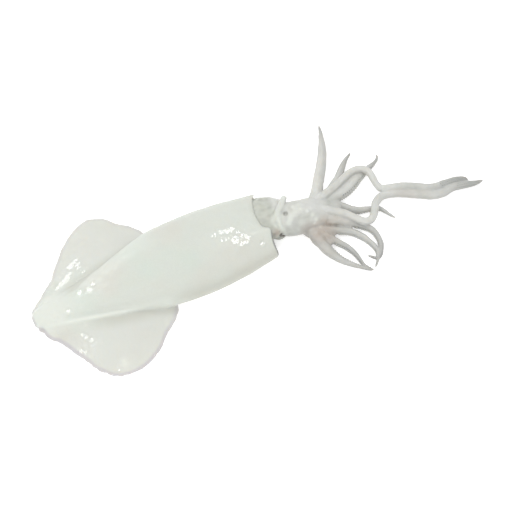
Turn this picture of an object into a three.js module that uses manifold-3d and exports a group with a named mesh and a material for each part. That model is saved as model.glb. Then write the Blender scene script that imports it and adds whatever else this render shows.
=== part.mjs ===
// A whole cleaned squid lying on its side fins: a gutted mantle tube with its two fins, and the
// head, set back into the mouth of the tube, with eight arms and two long tentacles.
// Millimetres, +Z up. While it is modelled, X runs along the body from the tail (0) to the head,
// Y runs across it and Z = 0 is the surface it lies on. The group then moves the origin to the
// middle of the underside.

import * as THREE from "three";
import { mergeVertices } from "three/addons/utils/BufferGeometryUtils.js";
import Module from "manifold-3d";

// Driving dimensions of the mantle tube.
const mantleLength = 200;
const mantleWall = 2.8;
const cavityDepth = 46;
const bodyBow = 2.6;
const underside = 1.4;
const mantleSides = 40;
const mantleRings = 30;
const tailDensity = 1.3;

// Half width and height of the mantle at some distances from the tail.
const mantleStations = [
  { at: 0, halfWidth: 5, height: 4.4 },
  { at: 3, halfWidth: 8, height: 6.8 },
  { at: 9, halfWidth: 10.4, height: 9.2 },
  { at: 22, halfWidth: 14.5, height: 13.5 },
  { at: 42, halfWidth: 19, height: 19.5 },
  { at: 66, halfWidth: 25.2, height: 25.5 },
  { at: 90, halfWidth: 31, height: 29.5 },
  { at: 112, halfWidth: 34.8, height: 31.5 },
  { at: 140, halfWidth: 35.8, height: 31 },
  { at: 166, halfWidth: 34, height: 28.5 },
  { at: 186, halfWidth: 30.8, height: 25.5 },
  { at: 200, halfWidth: 28.8, height: 23.6 },
];

// The rim of the mouth is cut unevenly: how far it stands out from the nominal length, across it.
const rimStations = [
  { at: -29, out: -1.5 },
  { at: -20, out: -2.2 },
  { at: -13, out: -0.8 },
  { at: -9, out: -1.6 },
  { at: -6, out: -5.6 },
  { at: 1, out: -6.4 },
  { at: 9, out: -5.8 },
  { at: 17, out: -3.2 },
  { at: 24, out: 0 },
  { at: 29, out: 3.2 },
];

// Driving dimensions of the fins.
const finRootThickness = 5.2;
const finEdgeThickness = 1.5;
const finRootHeight = 8;
const finEdgeHeight = 2.4;
const finRibs = 30;
const finSteps = 7;
const finRoot = { from: 2, to: 107, inside: 0.74 };

// Outlines of the two fins, from the tail round to where the fin runs into the tube.
const farFinOutline = [
  [1.8, 8.2], [11.5, 18], [20, 26.5], [30.5, 39], [49.5, 60], [60, 66.5], [71, 70], [83, 66.5],
  [95.5, 54], [110, 36],
];
const nearFinOutline = [
  [1.8, -8.6], [9, -21.5], [20.5, -38], [30, -56], [42.5, -69.5], [53.5, -73], [68.5, -69], [82, -61],
  [98.5, -47], [107.5, -35],
];

// Neck and head, as stations along the body: centre line, half width, lowest and highest point.
const neckStations = [
  { at: 172, centre: 4.5, halfWidth: 10, low: 5.5, high: 16 },
  { at: 180, centre: 5, halfWidth: 16, low: 4, high: 19 },
  { at: 196, centre: 5.8, halfWidth: 17.6, low: 3.6, high: 19.4 },
  { at: 203, centre: 6, halfWidth: 18.8, low: 3.4, high: 19.6 },
  { at: 209, centre: 5.4, halfWidth: 18.6, low: 2.6, high: 20 },
  { at: 215, centre: 3.9, halfWidth: 17, low: 1.8, high: 20.6 },
  { at: 220, centre: 1.6, halfWidth: 14, low: 1.4, high: 20.6 },
  { at: 224, centre: 0, halfWidth: 11, low: 1.4, high: 19 },
];
const headStations = [
  { at: 207, centre: 0.5, halfWidth: 8.5, low: 5, high: 18 },
  { at: 211, centre: 0.2, halfWidth: 12.6, low: 1.6, high: 21.5 },
  { at: 218, centre: -1.2, halfWidth: 14, low: 0, high: 23.6 },
  { at: 228, centre: -3, halfWidth: 14.2, low: 0, high: 24 },
  { at: 238, centre: -4.6, halfWidth: 14.6, low: 0, high: 22.5 },
  { at: 247, centre: -4.6, halfWidth: 14.2, low: 0, high: 19.5 },
  { at: 254, centre: -3.5, halfWidth: 11.5, low: 0.8, high: 15.5 },
  { at: 259, centre: -2.5, halfWidth: 7, low: 3, high: 10.5 },
];
const headSides = 24;
const ringSpacing = 3.4;

// Pale folds of skin round the neck: their routes, and the radius at their middle.
const foldRadius = 2.3;
const foldRoutes = [
  [[224, 14.5, 17], [218, 7.5, 20.5], [213, 1.5, 21.8], [209, -0.5, 20.6], [204.5, -2.5, 18]],
  [[212.5, 0.5, 21.8], [210, -5.5, 19.4], [210, -10, 15.4], [211.5, -12.5, 10]],
];

// The eight arms and two tentacles: the route of the centre line from inside the head to the tip,
// and the half width at even shares of its length. The arms lie down, the tentacles cross over them.
const strandSides = 9;
const strandFlatness = 0.92;
const strands = {
  arm1: {
    route: [
      [243, 1, 12], [252.5, 11.5, 12], [260.5, 23.5, 8.5], [270, 38, 5.4], [278, 53.5, 4],
      [284, 68, 2.6], [287.2, 78.8, 1.4],
    ],
    halfWidths: [5.6, 4.8, 4.2, 3.6, 3.1, 2, 0.5],
    steps: 20,
  },
  arm2: {
    route: [
      [248, 2, 12], [263, 12.5, 9.5], [275, 19.5, 6], [283.5, 28, 3.6], [291, 35.5, 2.4], [299.2, 42, 1.2],
    ],
    halfWidths: [4.4, 3.9, 3.4, 2.8, 1.9, 0.5],
    steps: 18,
  },
  arm3: {
    route: [
      [246, 0, 11], [258.5, 4, 9.5], [269, 5, 6.6], [281, 7.5, 4.6], [292, 13.5, 3.4], [304.5, 20, 2.6],
      [315, 25.5, 2], [318.2, 31.4, 1.2],
    ],
    halfWidths: [4.8, 5, 4.9, 4.2, 2.8, 1.8, 0.5],
    steps: 24,
  },
  arm4: {
    route: [
      [246, -2, 9], [257.5, 0, 8], [267, -6.5, 5], [276, -13, 3.2], [285, -15.5, 2.6],
      [294.5, -18.5, 2.2], [300, -27.5, 1.8], [303.5, -33, 1.1],
    ],
    halfWidths: [4.2, 3.6, 3, 2.5, 2.2, 1.6, 0.5],
    steps: 24,
  },
  arm5: {
    route: [
      [240, -10, 10], [248, -14.5, 9], [256, -17.5, 6.6], [266, -23.5, 4.6], [274, -29, 3.6],
      [279.5, -35, 3], [281.2, -44, 2.5], [279, -52.5, 2.1], [273, -59.2, 1.7], [267.5, -55, 1.1],
    ],
    halfWidths: [4.4, 4, 3.4, 3, 2.8, 2.4, 1.6, 0.5],
    steps: 28,
  },
  arm6: {
    route: [
      [231, -12, 10], [239.5, -20.5, 9], [252, -25.5, 6.2], [262.5, -30, 4.2], [269, -37, 3.2],
      [273.5, -46.5, 2.7], [274.6, -54.5, 2.2], [272, -61, 1.7], [267.8, -66, 1.1],
    ],
    halfWidths: [5, 4.2, 3.5, 3.2, 2.6, 1.8, 0.5],
    steps: 26,
  },
  arm7: {
    route: [
      [233, -14, 9], [239.5, -24.5, 8], [247.5, -33.5, 4.8], [254, -42, 3.2], [257.5, -51.5, 2.5],
      [259.3, -62, 1.9], [264.2, -67.8, 1.1],
    ],
    halfWidths: [4.8, 4.2, 3.2, 2.8, 2.2, 1.6, 0.5],
    steps: 24,
  },
  arm8: {
    route: [
      [228, -9, 10], [230.5, -19.5, 9], [234.5, -27, 7.4], [239.5, -39.5, 4.8], [245, -51, 3.2],
      [254, -61, 2.1], [261.6, -68.3, 1.1],
    ],
    halfWidths: [6, 6, 5, 3.6, 2.6, 1.8, 0.5],
    steps: 24,
  },
  tentacle1: {
    route: [
      [243, 1, 15], [254, 5.5, 15], [266.5, 10, 13.2], [277.5, 14, 11.5], [286, 17.5, 10.2],
      [293, 18.5, 9.5], [298, 17, 9.2], [301, 13, 8.7], [302.3, 1.5, 5.2], [304.5, -2.8, 3.6],
      [309.5, -4, 2.9], [321.5, -7, 2.8], [332, -12.3, 3], [342, -18.2, 3], [354, -20, 2.9],
      [367, -21.3, 2.8], [375.3, -24.8, 2.7],
    ],
    halfWidths: [3.4, 3.2, 3.1, 3.1, 3, 3.1, 3.4, 3.6, 3.5, 3.2, 2.6],
    steps: 52,
  },
  tentacle2: {
    route: [
      [236, -1, 16], [244.5, -6, 16], [253.5, -10.5, 13.5], [263.5, -16.5, 10.8], [270.5, -23.5, 9.2],
      [276, -28.8, 8.8], [282, -28.8, 8.6], [288, -22.5, 8], [293, -15, 6.6], [301.5, -10.2, 4.2],
      [311, -11.7, 3.4], [330.5, -21.6, 3.6], [340.5, -27, 3.5], [350, -28.2, 3], [358.5, -26.4, 2.8],
      [369, -27.8, 2.6], [380, -30.2, 2.3], [387.3, -29.6, 1.4],
    ],
    halfWidths: [3.8, 3.6, 3.4, 3.3, 3.3, 3.4, 3.6, 3.8, 4, 4, 3.4, 2.9, 0.6],
    steps: 62,
  },
};

// The web of skin that joins the three arms of the near side to the head.
const web = { centre: [241, -21, 6.6], size: [12.5, 16.5, 6.2], turn: -0.25 };

// Colours of the pale flesh.
const mantleColour = "#dfe4da";
const headColour = "#cfd0c8";

/** Smooth value of a station table at a position: cubic through the stations, level at both ends. */
function along(stations, key, at) {
  const last = stations.length - 1;
  const here = THREE.MathUtils.clamp(at, stations[0].at, stations[last].at);
  let i = 0;
  while (i < last - 1 && here > stations[i + 1].at) i += 1;
  const slope = (k) => {
    const a = stations[Math.max(k - 1, 0)];
    const b = stations[Math.min(k + 1, last)];
    return (b[key] - a[key]) / (b.at - a.at);
  };
  const span = stations[i + 1].at - stations[i].at;
  const t = (here - stations[i].at) / span;
  const start = stations[i][key] * (1 + 2 * t) * (1 - t) ** 2 + slope(i) * span * t * (1 - t) ** 2;
  const end = stations[i + 1][key] * (3 - 2 * t) * t ** 2 - slope(i + 1) * span * (1 - t) * t ** 2;
  return start + end;
}

/** A closed body through rings of points, with both ends closed by a fan. */
function loft(rings) {
  const sides = rings[0].length;
  const points = rings.flat();
  const middle = (ring) => ring.reduce((sum, p) => sum.add(p), new THREE.Vector3()).divideScalar(sides);
  const first = points.push(middle(rings[0])) - 1;
  const last = points.push(middle(rings[rings.length - 1])) - 1;
  const index = [];
  for (let s = 0; s < sides; s += 1) {
    const next = (s + 1) % sides;
    const end = (rings.length - 1) * sides;
    index.push(first, next, s, last, end + s, end + next);
    for (let r = 0; r < rings.length - 1; r += 1) {
      const a = r * sides + s;
      const b = r * sides + next;
      index.push(a, b, b + sides, a, b + sides, a + sides);
    }
  }
  const geometry = new THREE.BufferGeometry().setFromPoints(points);
  geometry.setIndex(index);
  return volume(geometry) > 0 ? geometry : flipped(geometry);
}

/** Signed volume of a closed indexed geometry, positive where its faces look out. */
function volume(geometry) {
  const position = geometry.getAttribute("position");
  const corner = (i) => new THREE.Vector3().fromBufferAttribute(position, geometry.index.getX(i));
  let sum = 0;
  for (let i = 0; i < geometry.index.count; i += 3) {
    sum += corner(i).dot(corner(i + 1).cross(corner(i + 2))) / 6;
  }
  return sum;
}

/** The same geometry with every face turned round. */
function flipped(geometry) {
  const index = Array.from(geometry.index.array);
  for (let i = 0; i < index.length; i += 3) {
    [index[i], index[i + 1]] = [index[i + 1], index[i]];
  }
  geometry.setIndex(index);
  return geometry;
}

/** A flesh cross-section: domed on top and pressed nearly flat underneath. */
function fleshRing({ x, centre, halfWidth, low, high, sides }) {
  const waist = low + (high - low) * 0.42;
  return Array.from({ length: sides }, (_, s) => {
    const angle = (2 * Math.PI * s) / sides;
    const across = Math.sign(Math.cos(angle)) * Math.abs(Math.cos(angle)) ** 0.92;
    const rise = Math.abs(Math.sin(angle)) ** 0.95;
    const z = Math.sin(angle) > 0 ? waist + (high - waist) * rise : waist - (waist - low) * rise;
    const y = centre + halfWidth * across;
    return new THREE.Vector3(typeof x === "function" ? x(y) : x, y, z);
  });
}

/** Sideways place of the mantle's centre line: the tube bows slightly to the near side. */
function mantleCentre(x) {
  return -bodyBow * Math.sin((Math.PI * THREE.MathUtils.clamp(x, 0, mantleLength)) / mantleLength);
}

/** The mantle's ring at a distance from the tail, shrunk all round by an inset. */
function mantleRing(x, inset) {
  const share = x / mantleLength;
  const high = along(mantleStations, "height", x) - inset;
  const ring = fleshRing({
    x: (y) => x + along(rimStations, "out", y) * share ** 9,
    centre: mantleCentre(x),
    halfWidth: along(mantleStations, "halfWidth", x) - inset,
    low: inset - underside * Math.min(1, x / 20),
    high,
    sides: mantleSides,
  });
  ring.forEach((p) => { p.z = Math.max(p.z, inset); });
  return ring;
}

/** The outside of the mantle, from the rounded tail to the rim. */
function mantleOuter() {
  const place = (r) => mantleLength * (r / mantleRings) ** tailDensity;
  return loft(Array.from({ length: mantleRings + 1 }, (_, r) => mantleRing(place(r), 0)));
}

/** The hollow inside the mouth, which narrows a little towards its end and runs out past the rim. */
function mantleCavity() {
  const steps = 6;
  const rings = Array.from({ length: steps + 1 }, (_, r) => {
    const inset = r === 0 ? mantleWall * 2 : mantleWall;
    return mantleRing(mantleLength - cavityDepth * (1 - r / steps), inset);
  });
  const beyond = rings[steps].map((p) => p.clone().add(new THREE.Vector3(12, 0, 0)));
  return loft([...rings, beyond]);
}

/** Height of a fin's upper face between its root (0) and its edge (1), with slow waves. */
function finTop(share, x, phase) {
  const wave = 0.9 * Math.sin(x / 9 + phase) * share ** 1.5;
  const drop = (1 - share) ** 1.4;
  return finEdgeHeight + (finRootHeight - finEdgeHeight) * drop + wave + finEdgeThickness / 2;
}

/** One fin as ribs that run from inside the mantle to the outline. */
function fin(outline, side, phase) {
  const edgePoints = outline.map(([x, y]) => new THREE.Vector3(x, y, 0));
  const curve = new THREE.CatmullRomCurve3(edgePoints, false, "centripetal");
  const rings = Array.from({ length: finRibs + 1 }, (_, r) => {
    const share = r / finRibs;
    const edge = curve.getPointAt(share);
    const rootX = THREE.MathUtils.lerp(finRoot.from, finRoot.to, share);
    const rootY = mantleCentre(rootX) + side * along(mantleStations, "halfWidth", rootX) * finRoot.inside;
    const root = new THREE.Vector3(rootX, rootY, 0);
    const upper = [];
    const lower = [];
    for (let s = 0; s <= finSteps; s += 1) {
      const out = s / finSteps;
      const thickness = finEdgeThickness + (finRootThickness - finEdgeThickness) * (1 - out) ** 1.3;
      const shrink = Math.min(1, 0.45 + rootX / 30);
      const top = root.clone().lerp(edge, out);
      top.z = finTop(out, top.x, phase) * shrink;
      const bottom = top.clone().setZ(Math.max(0.15, top.z - thickness * shrink));
      upper.push(top);
      lower.unshift(bottom);
    }
    return [...upper, ...lower];
  });
  return loft(rings);
}

/** Neck or head: rings at even spacing through a station table. */
function fleshBody(stations) {
  const from = stations[0].at;
  const to = stations[stations.length - 1].at;
  const steps = Math.round((to - from) / ringSpacing);
  return loft(Array.from({ length: steps + 1 }, (_, r) => {
    const x = from + ((to - from) * r) / steps;
    const value = (key) => along(stations, key, x);
    return fleshRing({
      x,
      centre: value("centre"),
      halfWidth: value("halfWidth"),
      low: Math.max(0, value("low")),
      high: value("high"),
      sides: headSides,
    });
  }));
}

/** A tapering limb along a route, kept above the surface that it lies on. */
function strand({ route, halfWidths, steps, sides = strandSides }) {
  const routePoints = route.map((p) => new THREE.Vector3(...p));
  const curve = new THREE.CatmullRomCurve3(routePoints, false, "centripetal");
  const stations = halfWidths.map((half, i) => ({ at: i / (halfWidths.length - 1), half }));
  const up = new THREE.Vector3(0, 0, 1);
  return loft(Array.from({ length: steps + 1 }, (_, r) => {
    const share = r / steps;
    const centre = curve.getPointAt(share);
    const across = curve.getTangentAt(share).cross(up).normalize();
    const rise = across.clone().cross(curve.getTangentAt(share)).normalize();
    const half = along(stations, "half", share);
    return Array.from({ length: sides }, (_, s) => {
      const angle = (2 * Math.PI * (s + 0.5)) / sides;
      const p = centre.clone();
      p.addScaledVector(across, half * Math.cos(angle));
      p.addScaledVector(rise, half * strandFlatness * Math.sin(angle));
      p.z = Math.max(p.z, 0);
      return p;
    });
  }));
}

/** The flat swelling of skin between the near arms and the head. */
function webBody() {
  const geometry = new THREE.SphereGeometry(1, 20, 12);
  geometry.scale(...web.size);
  geometry.rotateZ(web.turn);
  geometry.translate(...web.centre);
  return geometry;
}

const wasm = await Module();
wasm.setup();

/** A three.js geometry as a solid that can be joined and cut. */
function solid(geometry) {
  const bare = geometry.clone();
  bare.deleteAttribute("normal");
  bare.deleteAttribute("uv");
  const merged = mergeVertices(bare, 1e-4);
  return new wasm.Manifold(new wasm.Mesh({
    numProp: 3,
    vertProperties: new Float32Array(merged.getAttribute("position").array),
    triVerts: new Uint32Array(merged.index.array),
  }));
}

/** A solid as a named mesh of one material. */
function piece(name, body, material) {
  const { vertProperties, triVerts } = body.getMesh();
  const geometry = new THREE.BufferGeometry();
  geometry.setAttribute("position", new THREE.BufferAttribute(new Float32Array(vertProperties), 3));
  geometry.setIndex(new THREE.BufferAttribute(new Uint32Array(triVerts), 1));
  geometry.computeVertexNormals();
  const mesh = new THREE.Mesh(geometry, material);
  mesh.name = name;
  return mesh;
}

/** Mantle tube and both fins, one piece, with the open mouth. */
function buildMantle() {
  const body = solid(mantleOuter())
    .add(solid(fin(farFinOutline, 1, 0.6)))
    .add(solid(fin(nearFinOutline, -1, 2.1)))
    .subtract(solid(mantleCavity()));
  const material = new THREE.MeshStandardMaterial({ color: mantleColour, roughness: 0.32, metalness: 0 });
  return piece("mantle", body, material);
}

/** Neck, skin folds, head, web, arms and tentacles, one piece. */
function buildHead() {
  const folds = foldRoutes.map((route) => strand({
    route,
    halfWidths: [foldRadius * 0.5, foldRadius, foldRadius, foldRadius * 0.6],
    steps: 10,
    sides: 8,
  }));
  const parts = [
    fleshBody(neckStations),
    fleshBody(headStations),
    webBody(),
    ...folds,
    ...Object.values(strands).map((limb) => strand(limb)),
  ];
  const body = parts.map(solid).reduce((whole, part) => whole.add(part));
  const material = new THREE.MeshStandardMaterial({ color: headColour, roughness: 0.38, metalness: 0 });
  return piece("head_arms", body, material);
}

const squid = new THREE.Group();
squid.add(buildMantle(), buildHead());

const box = new THREE.Box3().setFromObject(squid);
const middle = box.getCenter(new THREE.Vector3());
squid.position.set(-middle.x, -middle.y, -box.min.z);

export default squid;
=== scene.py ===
"""Dresses a whole cleaned squid: the wet mantle tube with its fins, the head with its arms and
tentacles, their suckers, and the stage that it lies on.

Shapes are worked out in millimetres with the tail's tip at X = 0 and the body along +X, and are
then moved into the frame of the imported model.
"""

import math
import random

import bmesh
import bpy
import numpy as np
from bpy.props import FloatProperty, FloatVectorProperty, IntProperty, PointerProperty
from mathutils import Matrix, Vector, kdtree, noise
from mathutils.bvhtree import BVHTree


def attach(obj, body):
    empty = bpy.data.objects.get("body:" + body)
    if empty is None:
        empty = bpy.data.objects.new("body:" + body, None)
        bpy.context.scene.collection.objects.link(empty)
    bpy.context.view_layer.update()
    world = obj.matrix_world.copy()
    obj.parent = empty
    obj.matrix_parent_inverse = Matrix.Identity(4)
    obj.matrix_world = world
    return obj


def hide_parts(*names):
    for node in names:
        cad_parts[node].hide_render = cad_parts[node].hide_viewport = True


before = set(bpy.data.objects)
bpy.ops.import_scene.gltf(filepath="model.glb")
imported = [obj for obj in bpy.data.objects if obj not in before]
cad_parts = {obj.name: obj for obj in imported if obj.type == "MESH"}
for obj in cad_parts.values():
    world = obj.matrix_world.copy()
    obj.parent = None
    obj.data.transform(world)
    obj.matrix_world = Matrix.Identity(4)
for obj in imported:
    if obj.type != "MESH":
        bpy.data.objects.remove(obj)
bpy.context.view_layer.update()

bl_info = {
    "name": "Cleaned squid",
    "version": (1, 0, 0),
    "blender": (4, 5, 0),
    "location": "View3D > Sidebar > Squid",
    "description": "Builds a whole cleaned squid and the stage it lies on",
    "category": "Object",
}

# Where the tail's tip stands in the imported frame, in millimetres, and the way from one to the
# other.
TAIL_TIP = (-193.691, -2.991, 0.0)
TO_FRAME = Matrix.Scale(0.001, 4) @ Matrix.Translation(TAIL_TIP)
MM = 0.001

# The highest and the nearest point that a skin may reach, and how far above the floor it stays,
# before and after its parts are fused.
TOP = 31.5
NEAREST = -72.9
RINGS_LOWEST = 0.05
SKIN_LOWEST = 0.02

# How finely rings are set: along the tube and down its hollow, along and across a fin.
TUBE_STEPS, HOLLOW_STEPS = 170, 44
FIN_RIBS, FIN_STEPS = 150, 26

# The mantle tube: distance from the tail, half width, height.
TUBE_LENGTH = 200.0
TUBE_BOW = 2.6
MOUTH_SHIFT = 1.15
TUBE_STATIONS = [
    (0, 4.6, 4.0), (3, 7.8, 6.6), (9, 10.4, 9.2), (22, 14.5, 13.5), (42, 19, 19.5),
    (66, 25.2, 25.5), (90, 31, 29.5), (112, 35, 31.5), (140, 36.5, 31), (166, 35.2, 28.5),
    (186, 32.3, 25.5), (200, 30.4, 23.6),
]

# How much narrower the tube is on its far side, where the far fin leaves it.
FAR_HOLLOW = [(0, 0), (14, 0.8), (29, 2.4), (46, 3.4), (60, 3.4), (74, 2.7), (92, 0.8), (106, 0)]

# The cut rim of the mouth: place across the tube, and how far it stands out there.
RIM_STATIONS = [
    (-29, 0.2), (-24, -0.8), (-20, -0.9), (-13, 0.4), (-9, -0.8), (-6.6, -5.0), (1, -6.4),
    (9, -5.8), (17, -3.4), (24, -0.2), (27.5, 2.4), (29, 3.6),
]

# The rim's cut face: share of the wall's thickness, how far it is drawn back, and share of the
# slant.
LIP = [(0.10, 0.15, 0.85), (0.30, 0.0, 0.6), (0.62, 0.02, 0.3), (0.86, 0.35, 0.1), (1.0, 1.0, 0.0)]
CAVITY_DEPTH = 45.0
CUT_SLANT = 2.4

# How deep the round tube would sink into the floor, which presses it flat.
TUBE_SAG = 1.4

# The rim's shape dies away behind the mouth with this power of the distance from the tail.
RIM_POWER = 9

# Outlines of the two fins, from the tail round to where the fin runs into the tube.
FAR_FIN = [
    (1.8, 8.2), (6, 12.4), (12.8, 17.4), (20.5, 25.0), (26.8, 31.4), (31.7, 38.4), (37.6, 45.9),
    (43.4, 53.2), (49.7, 59.7), (55.7, 63.7), (61.8, 67.2), (66.6, 69.6), (72.4, 70.2),
    (78.1, 68.9), (83.2, 66.8), (87, 63.2), (90.4, 58.9), (96.2, 53.9), (101.3, 50.1),
    (106.1, 44.2), (110, 36),
]
NEAR_FIN = [
    (1.8, -8.6), (4.2, -10.6), (6, -15.8), (8.9, -20.4), (12.5, -23.4), (16.5, -29.4),
    (20.7, -36.8), (24.8, -44.2), (28, -50.2), (30.2, -55.7), (34, -60.8), (38.5, -66.2),
    (43.9, -70), (48.3, -71.8), (54, -72.8), (61.5, -71.9), (69.8, -69.3), (76.2, -65.8),
    (82.2, -61.5), (86.9, -56.9), (92.2, -51.1), (98.5, -46.7), (103.6, -42), (106.6, -37.4),
    (108, -33),
]
FIN_ROOT = (2.0, 107.0)

# Height of a spread fin, the least height of it, and its thickness at the root.
FIN_HEIGHT, FIN_LOWEST = 2.5, 1.7
FIN_ROOT_THICK = 5.0

# How far a fin's whole edge lies outside its outline, and the noises that make it ragged: strength,
# scale and pattern.
FIN_OUT = 0.9
FIN_RAGGED = [(0.55, 0.22, 7), (0.45, 0.6, 3)]

# The pale ridge of skin where the near fin leaves the tube.
NEAR_RIDGE = [
    (4, -7.6, 3.6), (11.2, -10.2, 6.4), (24.1, -14.6, 9.4), (37.4, -18.8, 11.4),
    (57.9, -24.2, 13.4), (79.2, -29, 14.8), (98.3, -31.8, 16.0), (108, -33.9, 14),
]

# Neck and head: distance from the tail, centre line, half width, lowest and highest point.
NECK_STATIONS = [
    (172, 4.5, 9, 5.5, 15.6), (180, 5, 16.4, 4, 20), (196, 6.2, 19.8, 3.6, 22.0),
    (203, 6.1, 20.4, 3, 21.7), (209, 6, 19.4, 2.0, 21), (215, 5, 17.2, 1.2, 21.2),
    (220, 2.6, 14.6, 1.4, 21), (224, 0, 10.6, 1.4, 18.6),
]
HEAD_STATIONS = [
    (208, 0.8, 9.4, 2, 17.5), (211.5, -0.2, 13.4, 0.4, 20.8), (218, -2.1, 14.7, 0.1, 23.2),
    (228, -3.9, 14.9, 0.1, 23.6), (238, -5.2, 15, 0.1, 22.2), (247, -4.6, 14, 0.1, 19.3),
    (254, -3.5, 11.3, 0.8, 15.3), (259, -2.5, 6.8, 3, 10.3),
]

# Folds of skin round the neck: route, and half thickness from one end to the other.
FOLDS = [
    ([(223.4, 14, 19.2), (219.8, 10.2, 21), (215.5, 5, 21.8), (211, 1, 21.4), (206.5, -2.2, 19.6),
      (202.5, -4.5, 17)], [2.3, 3.0, 3.2, 3.2, 2.8, 1.5]),
    ([(211.5, 0.8, 21.4), (209.5, -4, 20.4), (208.8, -8, 18), (209.8, -11.4, 14.2),
      (211.5, -12.8, 9.5)], [1.6, 2.2, 2.3, 2.0, 1.3]),
    ([(230, 0.2, 22.6), (226, -2.6, 23.0), (220, -6.6, 21.6), (216.5, -9.6, 19)],
     [0.7, 1.2, 1.3, 0.8]),
    ([(202.5, -4, 17.5), (206, -7.5, 16.6), (208.8, -9.8, 15.4)], [1.2, 1.9, 1.4]),
]

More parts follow.
